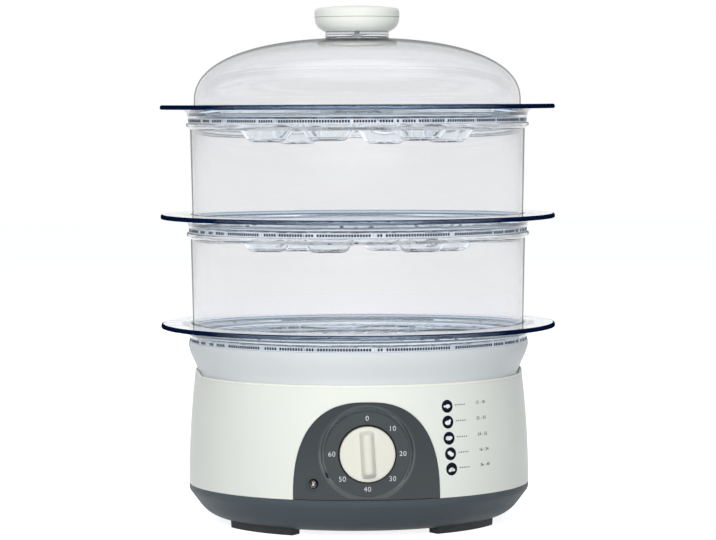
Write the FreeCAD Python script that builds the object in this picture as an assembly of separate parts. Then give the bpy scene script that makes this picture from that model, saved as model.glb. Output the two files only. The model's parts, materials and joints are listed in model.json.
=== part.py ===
import FreeCAD, Part
import math
import os

# Electric food steamer, three tiers high.
#
# A round powered base holds the water, a heating plate and a clockwork timer. A drip tray, two
# clear bowls, three clear steam trays and a domed lid stack on it and lift off one by one.
#
# Millimetres. +Z is up, the control panel faces -Y, and the origin is the centre of the
# footprint on the table. Every piece is one node, and like fasteners share a node.

# ---------------------------------------------------------------- driving dimensions
# Stack
TIER_PITCH = 82.8            # from one steam tray to the next
TRAY_COUNT = 3

# Powered base
COVER_BOTTOM_Z = 4.0         # flat underside of the bottom cover, above the table
SEAM_Z = 29.6                # where the bottom cover meets the housing
RIM_Z = 112.8                # top of the housing and of the water tank
SEAM_RADIUS = 129.5          # outside of the housing at the seam
RIM_DRAW_IN = 4.9            # how much narrower the housing is at the rim
RIM_ROUND = 1.6
RIM_BULGE = 0.3              # how full that round is, as a share of it
HOUSING_WALL = 2.4
COVER_WALL = 2.4
COVER_LAND = 4.4             # upright band of the cover below the seam
COVER_SLOPE = 0.75           # how far the cover's side runs in for each millimetre it drops
COVER_SIDE_ROUND = 6.0
COVER_BOTTOM_ROUND = 30.0
AIR_SLOT_START = 18.0
AIR_SLOT_END = 40.0
AIR_SLOT_WIDTH = 3.0
AIR_SLOT_COUNT = 12
EAR_HEIGHT = 3.2             # raised lips at the two side water inlets
EAR_HALF_WIDTH = 30.0
EAR_SLOPE = 10.0             # run of the slope at each end
EAR_WALL = 1.5
EAR_LEAN = 0.2
EAR_ROUND = 1.0
LIP_OVERLAP = 1.0
TONGUE_GAP = 0.3             # between the cover's tongue and the housing
TONGUE_WALL = 1.1
TONGUE_RISE = 2.5
TONGUE_ROOT = 6.0

# Water tank
TANK_GAP = 1.0               # between the tank and the housing at the rim
TANK_WALL = 2.2
TANK_SHOULDER_DROP = 8.0     # from the rim to the shoulder that rests on the housing's ledge
TANK_SHOULDER = 3.0          # how far the shoulder steps in
TANK_STEP_DROP = 20.0        # from the rim to the floor of the upper basin
TANK_FALL = 1.0
BASIN_ROUND = 6.2
WELL_BROW_ROUND = 3.0
SHOULDER_ROUND = 1.5
WELL_GAP = 9.2               # between the timer's case and the lower well
WELL_RISE = 17.0             # from the seam to the top of the well's floor
TANK_POST_RADIUS = 5.0
COVER_SCREW_INSET = 13.0     # from the outside of the well
COVER_SCREW_COUNT = 4
COVER_SCREW_TURN = 45.0
COVER_SCREW_LENGTH = 14.0
PILOT_SPARE = 1.0

# Drip tray
DRIP_RISE = 24.2             # from the housing's rim to the top of the drip tray
DRIP_RIM_HEIGHT = 3.2
DRIP_RIM_WIDTH = 4.2
DRIP_WALL = 2.2
DRIP_WAIST_IN = 2.4          # from the housing's rim in to the tray's side, just above it
DRIP_FLARE = 7.4             # growth of the radius from there to the top
DRIP_WAIST_SHARE = 0.30     # how far the side runs straight up at its waist, as a share
DRIP_RIM_SHARE = 0.397       # and at its rim
DRIP_FIT_GAP = 0.7           # radial play inside the tank
DRIP_DEPTH = 13.0            # from the housing's rim to the underside of the floor
DRIP_CHAMFER = 4.0
EDGE_ROUND = 0.8             # on the moulded edges of trays
CHIMNEY_RADIUS = 36.0        # inside of the steam chimney
CHIMNEY_DROP = 11.9          # from the top of the tray to the top of the chimney

# Steam tray, measured down from the top of its flange
FLANGE_WIDTH = 23.0          # from the recess to the flange's edge
FLANGE_PLATE = 3.4
FLANGE_EDGE_ROUND = 1.5
RECESS_DEPTH = 6.0           # the bowl or the lid above stands in this recess
RECESS_LEDGE = 8.6
FLOOR_DEPTH = 8.0
FLOOR_WALL = 2.0
NECK_STEP = 0.6              # how far the neck stands out over the ring
NECK_WALL = 2.2
NECK_ROUND = 5.0
RING_INSET = 1.0             # from the drip tray's rim in to the ring that stands on it
RING_WALL = 2.0
RING_TOP = 10.2
SEAT_DEPTH = 14.0            # underside of the ring
SKIRT_INSET = 5.6            # from the ring in to the skirt that centres the tray
SKIRT_WALL = 1.8
SKIRT_DEPTH = 18.2
STEAM_HOLE_RADIUS = 2.0
STEAM_HOLES_INNER = ((0.31, 6), (0.57, 12), (0.835, 18))  # share of the centre's radius, count
STEAM_HOLES_OUTER = ((16.4, 48), (7.4, 48))  # from the floor's edge, count
EGG_CUP_COUNT = 6
EGG_CUP_INSET = 48.4         # from the floor's edge in to a cup's centre
EGG_CUP_TURN = 9.3           # degrees from +X to the first cup
EGG_CUP_DEPTH = 25.0         # underside of a cup
EGG_CUP_FOOT = 13.0          # outer radius of a cup at its underside
EGG_CUP_ROUND = 2.5
EGG_CUP_FLARE = 0.77         # growth of a cup's radius for each millimetre it rises
EGG_CUP_WALL = 2.0
EGG_CUP_SIDE = 2.4           # a cup's sloping wall, measured level
EGG_CUP_DRAIN_RADIUS = 2.5

# Bowl
BOWL_FIT = 1.3               # play of its foot in the recess
BOWL_DRAFT = 1.5
BOWL_WALL = 2.2
BOWL_BEAD = 3.0
BOWL_BEAD_HEIGHT = 2.2
BOWL_ROUND = 0.6

# Lid
LID_FIT = 2.8                # play of its foot in the recess
LID_WALL = 2.2
LID_SKIRT = 8.0              # upright band at the lid's foot
LID_DOME_RISE = 48.5
LID_DOME_POWER = 2.35        # 2 would be an ellipse, more is boxier
LID_NECK_RADIUS = 24.0
LID_NECK_HEIGHT = 4.6
LID_SCREW_RADIUS = 2.0
LID_SCREW_HEAD_RADIUS = 4.0
LID_SCREW_BITE = 8.0
LID_ROUND = 0.6
VENT_RADIUS = 1.6
VENT_INSET = 3.2             # from the knob's edge, so that the knob hides them
VENT_COUNT = 6
VENT_TURN = 30.0
WASHER_RADIUS = 7.0
WASHER_THICKNESS = 1.2

# Lid knob
KNOB_RADIUS = 32.2
KNOB_LOWER_HEIGHT = 11.0
KNOB_UPPER_HEIGHT = 9.0
KNOB_CROWN = 2.4             # how much the top swells above its edge
KNOB_FOOT_RADIUS = 24.6
KNOB_WALL = 2.2
KNOB_POST_RADIUS = 5.0
KNOB_SPIGOT = 2.4            # how deep the cap reaches into the lower half
KNOB_SPIGOT_GAP = 0.2
KNOB_DRAFT = 0.4
KNOB_BELLY = 0.62            # height of the belly, as a share of the lower half
KNOB_BELLY_ROUND = 9.0
KNOB_BELLY_WALL_ROUND = 2.6
KNOB_FOOT_ROUND = 1.0
KNOB_EDGE_ROUND = 5.0
KNOB_CROWN_SHARE = 0.55      # where the crown starts to fall, as a share of the radius
KNOB_CROWN_ROUND = 80.0

# Control panel
PANEL_HALF_WIDTH = 53.5
PANEL_BELOW_RIM = 12.0
PANEL_POWER = 2.5
PANEL_PROUD = 0.8
PANEL_PLATE = 2.6
PANEL_GAP = 0.25
PANEL_LEDGE_IN = 5.0         # the housing's ledge behind the panel reaches this far in
PANEL_LEDGE_OUT = 6.0
PANEL_LEDGE_WALL = 2.4
PANEL_SEAM_GAP = 0.5
PANEL_HOOK_X = 43.2          # inner face of the snap hooks
PANEL_HOOK_WIDTH = 2.4
PANEL_HOOK_HEIGHT = 8.0
PANEL_HOOK_BARB = 2.0
PANEL_HOOK_BARB_DEPTH = 5.0
PANEL_HOOK_PAST = 2.1        # from the bracket's face to the back of the hooks
PANEL_HOOK_LOW = 9.0         # from the seam up to the lower hook
PANEL_HOOK_HIGH = 20.6
DIAL_RISE = 34.3             # from the seam up to the dial's centre
DIAL_RADIUS = 31.8
DIAL_PROUD = 2.0             # how far its face stands out past the seam
DIAL_PLATE = 2.2
DIAL_SIDE = 2.2
DIAL_DEPTH = 8.6
DIAL_EDGE_ROUND = 1.4
POCKET_RADIUS = 21.0         # the timer knob turns in this pocket
POCKET_DEPTH = 4.5
POCKET_WALL = 1.8
POST_X = 36.8                # the timer bracket's four posts behind the panel
POST_RISE = 8.0
POST_RADIUS = 3.0
POST_LENGTH = 12.0
POST_PILOT = 6.0

# Timer knob
DIAL_KNOB_RADIUS = 20.4
DIAL_KNOB_SINK = 3.5         # how far the disc sits in the pocket
DIAL_KNOB_DISC = 8.5
DIAL_KNOB_EDGE = 1.4
DIAL_KNOB_WALL = 2.2
GRIP_WIDTH = 10.5
GRIP_HEIGHT = 9.0
GRIP_TIP_HEIGHT = 3.0        # the pointer end is lower
GRIP_LENGTH = 36.5
GRIP_ROUND = 4.0
GRIP_SHOULDER = 0.35         # where the grip starts to drop, as a share of its half length
HUB_RADIUS = 6.0
HUB_DEPTH = 9.0              # bore for the shaft, from the back of the disc
KNOB_BORE_CLEARANCE = 0.15
CLIP_THICKNESS = 0.5
CLIP_WIDTH = 2.6
CLIP_LENGTH = 6.0

# Timer
SHAFT_RADIUS = 3.0
SHAFT_FLAT = 2.2             # from the shaft's centre to its flat
SHAFT_CLEARANCE = 0.4
SHAFT_END_GAP = 1.0
BEARING_CLEARANCE = 0.06
TIMER_WIDTH = 50.0
TIMER_HEIGHT = 42.0
TIMER_DEPTH = 17.0
TIMER_WALL = 1.2
TIMER_LUG = 8.0
TIMER_LUG_HEIGHT = 12.0
BRACKET_BEHIND = 18.9        # from the dial's face back to the bracket
BRACKET_THICKNESS = 1.4
BRACKET_HALF_WIDTH = 41.5
BRACKET_HALF_HEIGHT = 23.0
BRACKET_EAR_X = 4.0          # steel left round the posts
BRACKET_EAR_Z = 5.0
BRACKET_SCREW_BITE = 5.0
WHEEL_MODULE = 0.8
MAIN_TEETH = 36
PINION_TEETH = 12
PINION_BEARING = 45.0        # direction from the shaft to the pinion's arbor
WHEEL_THICKNESS = 1.6
WHEEL_GAP = 1.4              # from the bracket to the main wheel
TOOTH_SHARE = 0.40           # part of the pitch that a tooth takes on the pitch circle
ARBOR_RADIUS = 1.0
ESCAPE_TEETH = 13
BARREL_RADIUS = 11.0
BARREL_DEPTH = 4.6
BARREL_GAP = 0.6
BARREL_FOOT = 4.0
CAM_RADIUS = 11.5
CAM_THICKNESS = 2.6
CAM_NOTCH_RADIUS = 2.4
BLADE_THICKNESS = 0.5
BLADE_WIDTH = 3.6
BLADE_GAP = 0.5
BLADE_LENGTH = 30.0
BLADE_BLOCK = 12.0
BLADE_TAB = 4.0              # how far the tabs stand out behind the case
BLADE_TAB_STEP = 5.4
BLADE_INSET = 1.0
BELL_RADIUS = 15.0
BELL_DEPTH = 6.0
BELL_WALL = 1.0
BELL_STEM_RADIUS = 2.0

# Indicator lamp
LAMP_X = -39.1
LAMP_RISE = 12.1             # from the seam up to the lamp
LENS_RADIUS = 3.6
LENS_GAP = 0.15
LENS_SEAT_GAP = 0.15
LENS_FLANGE_RADIUS = 5.0
LENS_FLANGE = 1.0
LENS_PROUD = 2.6
LAMP_RECESS_RADIUS = 5.6
LAMP_RECESS_DEPTH = 0.7
LAMP_HOLDER_RADIUS = 4.6
LAMP_HOLDER_LENGTH = 12.0
LAMP_HOLDER_WALL = 0.9
NEON_RADIUS = 2.6
NEON_LENGTH = 10.0

# Heater
PLATE_RADIUS = 50.0
PLATE_THICKNESS = 1.6
GASKET_THICKNESS = 1.6
PLATE_OVERLAP = 11.0         # plate, gasket and clamp on the tank's floor round its hole
ELEMENT_INSET = 12.0         # from that hole's edge in to the element
ELEMENT_RADIUS = 2.6
ELEMENT_GAP_ANGLE = 50.0
ELEMENT_TAIL = 14.0
CLAMP_THICKNESS = 1.5
CLAMP_SCREW_INSET = 5.5
CLAMP_SCREW_COUNT = 4
STRAP_WIDTH = 12.0
STRAP_THICKNESS = 1.2
THERMOSTAT_RADIUS = 8.0
THERMOSTAT_TAB = 7.0
THERMOSTAT_TAB_HALF = 1.6
THERMOSTAT_TAB_RISE = 1.0
THERMOSTAT_TAB_THICKNESS = 0.8
HEATER_TURN = 45.0           # bearing of the first clamp screw and of the strap
FUSE_RADIUS = 2.2
FUSE_LENGTH = 13.0
FUSE_AT = 17.0               # along the strap from the centre
STEAM_RING_FOOT_RADIUS = 60.0
STEAM_RING_TOP_RADIUS = 54.0
STEAM_RING_WALL = 2.0
STEAM_RING_DROP = 24.0       # from the housing's rim to the collar's top
STEAM_RING_NOTCHES = 6
STEAM_RING_NOTCH_RADIUS = 6.0

# Terminal block, on the bottom cover's floor
BLOCK_Y = 52.0
BLOCK_WIDTH = 30.0
BLOCK_DEPTH = 14.0
BLOCK_HEIGHT = 11.0
BLOCK_WAYS = 3
BLOCK_PITCH = 9.0
BLOCK_BORE = 1.9

# Cord clamp
CLAMP_SADDLE_INSET = 36.5    # from the outside of the housing
CLAMP_SADDLE_LONG = 10.0
CLAMP_SADDLE_HALF = 14.0
CLAMP_SADDLE_SCREW_X = 10.5
CLAMP_SADDLE_FOOT = 4.0
CLAMP_SADDLE_RADIUS = 7.0
FLOOR_BITE = 1.8             # how deep screws reach into the cover's floor

# Feet
FOOT_INSET = 20.6            # from the housing's outside in to a foot
FOOT_WIDTH = 12.0
FOOT_TALL = 9.0              # before the cover's form is taken out of it
FOOT_DRAFT = 0.6
FOOT_HALF_ANGLE = 17.3
FOOT_BEARING = 47.0          # from the front or the back to a foot's middle
FOOT_ROUND = 1.0

# Cord inlet
GLAND_BORE_RADIUS = 3.6
GLAND_RADIUS = 6.5
GLAND_HEAD_RADIUS = 9.0
GLAND_HEAD = 3.0
GLAND_LENGTH = 15.0

# Fasteners
SCREW_RADIUS = 1.5
SCREW_HEAD_RADIUS = 3.0
SCREW_HEAD_HEIGHT = 2.0
SCREW_DRIVE_DEPTH = 1.2
SCREW_CLEARANCE = 0.25
WIRE_RADIUS = 1.1

# ---------------------------------------------------------------- worked out from the above
UP = FreeCAD.Vector(0, 0, 1)
OUT_BACK = FreeCAD.Vector(0, 1, 0)
OUT_FRONT = FreeCAD.Vector(0, -1, 0)
DOWN = FreeCAD.Vector(0, 0, -1)
ORIGIN = FreeCAD.Vector(0, 0, 0)

RIM_RADIUS = SEAM_RADIUS - RIM_DRAW_IN
PANEL_TOP_Z = RIM_Z - PANEL_BELOW_RIM
DIAL_Z = SEAM_Z + DIAL_RISE
LAMP_Z = SEAM_Z + LAMP_RISE
DIAL_FACE_Y = -SEAM_RADIUS - DIAL_PROUD
BRACKET_FACE_Y = DIAL_FACE_Y + BRACKET_BEHIND
PANEL_HOOK_BACK_Y = BRACKET_FACE_Y + PANEL_HOOK_PAST
TANK_RADIUS = RIM_RADIUS - HOUSING_WALL - TANK_GAP
TANK_SHOULDER_Z = RIM_Z - TANK_SHOULDER_DROP
TANK_STEP_Z = RIM_Z - TANK_STEP_DROP
WELL_FLOOR_Z = SEAM_Z + WELL_RISE
STEAM_RING_TOP_Z = RIM_Z - STEAM_RING_DROP
FOOT_OUTER_RADIUS = SEAM_RADIUS - FOOT_INSET
FOOT_INNER_RADIUS = FOOT_OUTER_RADIUS - FOOT_WIDTH
CLAMP_SADDLE_Y = SEAM_RADIUS - CLAMP_SADDLE_INSET
DRIP_WAIST_RADIUS = RIM_RADIUS - DRIP_WAIST_IN
DRIP_RIM_RADIUS = DRIP_WAIST_RADIUS + DRIP_FLARE
DRIP_FLOOR_Z = RIM_Z - DRIP_DEPTH
DRIP_TOP_Z = RIM_Z + DRIP_RISE
CHIMNEY_TOP_Z = DRIP_TOP_Z - CHIMNEY_DROP
TRAY_TOP_Z = DRIP_TOP_Z + SEAT_DEPTH
RING_RADIUS = DRIP_RIM_RADIUS - RING_INSET
SKIRT_RADIUS = RING_RADIUS - SKIRT_INSET
NECK_RADIUS = RING_RADIUS + NECK_STEP
RECESS_RADIUS = NECK_RADIUS - NECK_WALL
FLANGE_RADIUS = RECESS_RADIUS + FLANGE_WIDTH
FLOOR_RADIUS = RECESS_RADIUS - RECESS_LEDGE
EGG_CUP_CIRCLE = FLOOR_RADIUS - EGG_CUP_INSET
EGG_CUP_MOUTH = EGG_CUP_FOOT + EGG_CUP_FLARE * (EGG_CUP_DEPTH - FLOOR_DEPTH - FLOOR_WALL)
CENTRE_RADIUS = EGG_CUP_CIRCLE - EGG_CUP_MOUTH
STEAM_HOLE_RINGS = ([(CENTRE_RADIUS * share, count) for share, count in STEAM_HOLES_INNER]
                    + [(FLOOR_RADIUS - inset, count) for inset, count in STEAM_HOLES_OUTER])
BOWL_FOOT_RADIUS = RECESS_RADIUS - BOWL_FIT
BOWL_TOP_RADIUS = BOWL_FOOT_RADIUS + BOWL_DRAFT
BOWL_BEAD_RADIUS = BOWL_TOP_RADIUS + BOWL_BEAD
LID_RADIUS = RECESS_RADIUS - LID_FIT
VENT_CIRCLE = KNOB_RADIUS - VENT_INSET
BOWL_HEIGHT = TIER_PITCH - SEAT_DEPTH + RECESS_DEPTH
TOP_TRAY_Z = TRAY_TOP_Z + TIER_PITCH * (TRAY_COUNT - 1)
LID_FOOT_Z = TOP_TRAY_Z - RECESS_DEPTH
DOME_FOOT_Z = LID_FOOT_Z + LID_SKIRT
DOME_TOP_Z = DOME_FOOT_Z + LID_DOME_RISE
KNOB_FOOT_Z = DOME_TOP_Z + LID_NECK_HEIGHT
KNOB_SPLIT_Z = KNOB_FOOT_Z + KNOB_LOWER_HEIGHT
KNOB_TOP_Z = KNOB_SPLIT_Z + KNOB_UPPER_HEIGHT
BEYOND = 2 * KNOB_TOP_Z      # longer than anything, for cutting tools
TIMER_FRONT_Y = BRACKET_FACE_Y + BRACKET_THICKNESS
TIMER_BACK_Y = TIMER_FRONT_Y + TIMER_DEPTH
WELL_RADIUS = -TIMER_BACK_Y - WELL_GAP
COVER_SCREW_CIRCLE = WELL_RADIUS - COVER_SCREW_INSET
WHEEL_Y = TIMER_FRONT_Y + WHEEL_GAP
BARREL_Y = WHEEL_Y + WHEEL_THICKNESS + BARREL_GAP
CAM_Y = BARREL_Y + BARREL_DEPTH + BARREL_GAP
KNOB_BACK_Y = DIAL_FACE_Y + DIAL_KNOB_SINK
SHAFT_TIP_Y = KNOB_BACK_Y - HUB_DEPTH + SHAFT_END_GAP
HEATER_HOLE_RADIUS = PLATE_RADIUS - PLATE_OVERLAP
ELEMENT_CIRCLE = HEATER_HOLE_RADIUS - ELEMENT_INSET
CLAMP_SCREW_CIRCLE = PLATE_RADIUS - CLAMP_SCREW_INSET
PLATE_Z = WELL_FLOOR_Z + GASKET_THICKNESS
CLAMP_Z = WELL_FLOOR_Z - TANK_WALL - CLAMP_THICKNESS
THERMOSTAT_BEARINGS = (HEATER_TURN + 90.0, HEATER_TURN + 270.0)
STRAP_Z = CLAMP_Z - STRAP_THICKNESS
COVER_FLOOR_Z = COVER_BOTTOM_Z + COVER_WALL
LAMP_BACK = PANEL_PLATE + LENS_SEAT_GAP
TANK_BORE_RADIUS = TANK_RADIUS - TANK_WALL
DRIP_BODY_RADIUS = TANK_BORE_RADIUS - TANK_SHOULDER - DRIP_FIT_GAP


# ---------------------------------------------------------------- building blocks
def vec(x, y, z):
    return FreeCAD.Vector(x, y, z)


def polar(radius, degrees, z=0.0):
    angle = math.radians(degrees)
    return vec(radius * math.cos(angle), radius * math.sin(angle), z)


def outline(corners):
    """A closed wire in the XZ plane through corners (x, z) or (x, z, round)."""
    points = [vec(c[0], 0, c[1]) for c in corners]
    rounds = [c[2] if len(c) > 2 else 0.0 for c in corners]
    count = len(points)
    starts, ends, edges = [], [], []
    for i, point in enumerate(points):
        back = points[i - 1] - point
        ahead = points[(i + 1) % count] - point
        half = back.getAngle(ahead) / 2
        if rounds[i] == 0.0 or half < 1e-6 or half > math.pi / 2 - 1e-6:
            starts.append(point)
            ends.append(point)
            continue
        reach = min(rounds[i] / math.tan(half), 0.48 * back.Length, 0.48 * ahead.Length)
        radius = reach * math.tan(half)
        back.normalize()
        ahead.normalize()
        middle = back + ahead
        middle.normalize()
        first = point + back * reach
        last = point + ahead * reach
        bulge = point + middle * (radius / math.sin(half) - radius)
        edges.append((i, Part.Arc(first, bulge, last).toShape()))
        starts.append(first)
        ends.append(last)
    arcs = dict(edges)
    wire = []
    for i in range(count):
        if i in arcs:
            wire.append(arcs[i])
        following = starts[(i + 1) % count]
        if ends[i].distanceToPoint(following) > 1e-6:
            wire.append(Part.LineSegment(ends[i], following).toShape())
    return Part.Wire(wire)


def turned(wire):
    """The solid that a wire in the XZ plane sweeps about the Z axis."""
    return Part.Face(wire).revolve(ORIGIN, UP, 360.0)


def turned_outline(corners):
    return turned(outline(corners))


def rod(radius, start, direction, length):
    return Part.makeCylinder(radius, length, start, direction)


def tube(outer, inner, start, direction, length):
    return rod(outer, start, direction, length).cut(rod(inner, start, direction, length))


def block(low, high):
    size = [high[i] - low[i] for i in range(3)]
    return Part.makeBox(size[0], size[1], size[2], vec(low[0], low[1], low[2]))


def joined(first, *others):
    """One solid made of pieces that overlap."""
    return first.fuse(list(others)).removeSplitter()


def around(shape, count, first_degrees=0.0):
    """Copies of a shape spaced evenly about the Z axis."""
    copies = []
    for i in range(count):
        copy = shape.copy()
        copy.rotate(ORIGIN, UP, first_degrees + i * 360.0 / count)
        copies.append(copy)
    return copies


def sector(radius, half_angle, middle_degrees, z_low, z_high):
    """A wedge of a cylinder about the Z axis."""
    wedge = Part.makeCylinder(radius, z_high - z_low, vec(0, 0, z_low), UP, 2 * half_angle)
    wedge.rotate(ORIGIN, UP, middle_degrees - half_angle)
    return wedge


def screw(head_face, direction, length):
    """A pan-head screw: its head sits on head_face, and its shank runs along direction."""
    back = direction * -1
    head = rod(SCREW_HEAD_RADIUS, head_face, back, SCREW_HEAD_HEIGHT)
    shank = rod(SCREW_RADIUS, head_face, direction, length)
    drive = rod(SCREW_RADIUS / 2, head_face + back * SCREW_HEAD_HEIGHT, direction, SCREW_DRIVE_DEPTH)
    return joined(head, shank).cut(drive)


def on_dial(shape):
    """Moves a shape made along +Z from z = 0 so that it points out of the dial's face."""
    shape.rotate(ORIGIN, vec(1, 0, 0), 90.0)
    shape.translate(vec(0, DIAL_FACE_Y, DIAL_Z))
    return shape


def on_shaft(radius, y, length):
    """A disc about the timer's shaft, from y towards the back."""
    return rod(radius, vec(0, y, DIAL_Z), OUT_BACK, length)


def gear(teeth, thickness, first_tooth_degrees):
    """A flat spur wheel about the Z axis with straight-flanked teeth."""
    pitch_radius = WHEEL_MODULE * teeth / 2
    tip, root = pitch_radius + 0.75 * WHEEL_MODULE, pitch_radius - 1.1 * WHEEL_MODULE
    step = 360.0 / teeth
    half = step * TOOTH_SHARE / 2
    points = []
    for i in range(teeth):
        middle = first_tooth_degrees + i * step
        points.append(polar(root, middle - half * 1.35))
        points.append(polar(tip, middle - half * 0.5))
        points.append(polar(tip, middle + half * 0.5))
        points.append(polar(root, middle + half * 1.35))
    points.append(points[0])
    return Part.Face(Part.makePolygon(points)).extrude(vec(0, 0, thickness))


def wire_lead(points, radius=WIRE_RADIUS):
    """A lead along straight runs joined by tangent arcs."""
    edges = []
    start = points[0]
    for i in range(1, len(points) - 1):
        back = points[i - 1] - points[i]
        ahead = points[i + 1] - points[i]
        reach = 0.45 * min(back.Length, ahead.Length)
        half = back.getAngle(ahead) / 2
        back.normalize()
        ahead.normalize()
        middle = back + ahead
        middle.normalize()
        arc_radius = reach * math.tan(half)
        first = points[i] + back * reach
        last = points[i] + ahead * reach
        bulge = points[i] + middle * (arc_radius / math.sin(half) - arc_radius)
        edges.append(Part.LineSegment(start, first).toShape())
        edges.append(Part.Arc(first, bulge, last).toShape())
        start = last
    edges.append(Part.LineSegment(start, points[-1]).toShape())
    path = Part.Wire(edges)
    section = Part.Wire(Part.Circle(points[0], points[1] - points[0], radius).toShape())
    return path.makePipeShell([section], True, False)


# ---------------------------------------------------------------- outer forms of the base
def body_radius(z, offset=0.0):
    """Outside of the housing at a height: upright at the seam, drawn in towards the rim."""
    share = (z - SEAM_Z) / (RIM_Z - SEAM_Z)
    return SEAM_RADIUS - (SEAM_RADIUS - RIM_RADIUS) * share ** 2 + offset


def body_form(offset):
    """The housing's outer form as a filled solid, moved out by offset."""
    curve = Part.BezierCurve()
    curve.setPoles([
        vec(SEAM_RADIUS + offset, 0, SEAM_Z),
        vec(SEAM_RADIUS + offset, 0, (SEAM_Z + RIM_Z) / 2),
        vec(RIM_RADIUS + offset, 0, RIM_Z),
    ])
    side = curve.toShape()
    foot, top = vec(0, 0, SEAM_Z), vec(0, 0, RIM_Z)
    wire = Part.Wire([
        Part.LineSegment(foot, vec(SEAM_RADIUS + offset, 0, SEAM_Z)).toShape(),
        side,
        Part.LineSegment(vec(RIM_RADIUS + offset, 0, RIM_Z), top).toShape(),
        Part.LineSegment(top, foot).toShape(),
    ])
    return turned(wire)


def cover_form(inset):
    """The bottom cover's outer form as a filled solid, moved in by inset."""
    land_z = SEAM_Z - COVER_LAND
    drop = land_z - COVER_BOTTOM_Z
    radius = SEAM_RADIUS - inset
    return turned_outline([
        (0, SEAM_Z),
        (radius, SEAM_Z),
        (radius, land_z, COVER_SIDE_ROUND),
        (radius - COVER_SLOPE * drop, COVER_BOTTOM_Z + inset, COVER_BOTTOM_ROUND),
        (0, COVER_BOTTOM_Z + inset),
    ])


def arch_form(offset, y_low=-BEYOND, y_high=-SEAM_RADIUS * 0.4):
    """The control panel's arch as a prism along Y, its outline moved out by offset."""
    half_width = PANEL_HALF_WIDTH + offset
    rise = PANEL_TOP_Z - SEAM_Z + offset
    steps = 24
    points = []
    for i in range(steps + 1):
        angle = math.pi * i / steps
        side, up = math.cos(angle), math.sin(angle)
        x = half_width * math.copysign(abs(side) ** (2 / PANEL_POWER), side)
        points.append(vec(x, y_low, SEAM_Z + rise * up ** (2 / PANEL_POWER)))
    curve = Part.BSplineCurve()
    curve.interpolate(points)
    foot = Part.LineSegment(points[-1], points[0]).toShape()
    return Part.Face(Part.Wire([curve.toShape(), foot])).extrude(vec(0, y_high - y_low, 0))


def lamp_frame():
    """Where the lamp's axis meets the panel's face, and the direction it points."""
    face = body_radius(LAMP_Z, PANEL_PROUD)
    middle = vec(LAMP_X, -math.sqrt(face ** 2 - LAMP_X ** 2), 0)
    outward = vec(middle.x, middle.y, 0)
    outward.normalize()
    return vec(middle.x, middle.y, LAMP_Z), outward


# ---------------------------------------------------------------- powered base
def base_housing():
    """White shell with the panel's opening, a ledge for the tank and two side lips."""
    ledge_top = TANK_SHOULDER_Z
    ledge_bottom = ledge_top - 2 * HOUSING_WALL
    ledge_radius = TANK_RADIUS - TANK_SHOULDER + DRIP_FIT_GAP
    shell = body_form(0).cut(body_form(-HOUSING_WALL))
    top_round = turned_outline([
        (RIM_RADIUS - RIM_ROUND, RIM_Z),
        (RIM_RADIUS + RIM_ROUND, RIM_Z),
        (RIM_RADIUS + RIM_ROUND, RIM_Z - RIM_ROUND),
        (body_radius(RIM_Z - RIM_ROUND), RIM_Z - RIM_ROUND),
        (RIM_RADIUS - RIM_ROUND * RIM_BULGE, RIM_Z - RIM_ROUND * RIM_BULGE),
    ])
    lip = turned_outline([
        (TANK_RADIUS + PANEL_GAP, RIM_Z - HOUSING_WALL),
        (RIM_RADIUS - LIP_OVERLAP, RIM_Z - HOUSING_WALL - LIP_OVERLAP),
        (RIM_RADIUS - LIP_OVERLAP, RIM_Z),
        (TANK_RADIUS + PANEL_GAP, RIM_Z),
    ])
    ledge = turned_outline([
        (ledge_radius, ledge_bottom + HOUSING_WALL / 2),
        (body_radius(ledge_bottom, -HOUSING_WALL / 2), ledge_bottom - 1.25 * HOUSING_WALL),
        (body_radius(ledge_top, -HOUSING_WALL / 2), ledge_top),
        (ledge_radius, ledge_top),
    ])
    below_ledge = block((-BEYOND, -BEYOND, 0), (BEYOND, BEYOND, ledge_top))
    backing = arch_form(PANEL_LEDGE_OUT).common(below_ledge).common(
        body_form(PANEL_PROUD - PANEL_PLATE - PANEL_GAP).cut(
            body_form(PANEL_PROUD - PANEL_PLATE - PANEL_GAP - PANEL_LEDGE_WALL)))
    solid = joined(joined(shell, lip).cut(top_round), ledge, backing)
    pocket = arch_form(PANEL_GAP).cut(body_form(PANEL_PROUD - PANEL_PLATE - PANEL_GAP))
    solid = solid.cut([pocket, arch_form(-PANEL_LEDGE_IN), gland_slot()])
    ears = [ear_lip(1), ear_lip(-1)]
    return joined(solid, *ears)


def ear_lip(side):
    """The raised lip at a side water inlet, its ends sloped down to the rim."""
    lip = turned_outline([
        (RIM_RADIUS - EAR_WALL, RIM_Z - EAR_HEIGHT),
        (body_radius(RIM_Z - EAR_HEIGHT), RIM_Z - EAR_HEIGHT),
        (body_radius(RIM_Z - EAR_WALL), RIM_Z - EAR_WALL),
        (RIM_RADIUS - EAR_LEAN, RIM_Z + EAR_HEIGHT, EAR_ROUND),
        (RIM_RADIUS - EAR_WALL, RIM_Z + EAR_HEIGHT),
    ])
    low, high = RIM_Z - 2 * EAR_HEIGHT, RIM_Z + EAR_HEIGHT
    corners = [
        (EAR_HALF_WIDTH, low),
        (EAR_HALF_WIDTH, RIM_Z),
        (EAR_HALF_WIDTH - EAR_SLOPE, high),
        (EAR_SLOPE - EAR_HALF_WIDTH, high),
        (-EAR_HALF_WIDTH, RIM_Z),
        (-EAR_HALF_WIDTH, low),
        (EAR_HALF_WIDTH, low),
    ]
    face = Part.Face(Part.makePolygon([vec(0, y, z) for y, z in corners]))
    return lip.common(face.extrude(vec(side * BEYOND, 0, 0)))


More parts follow.
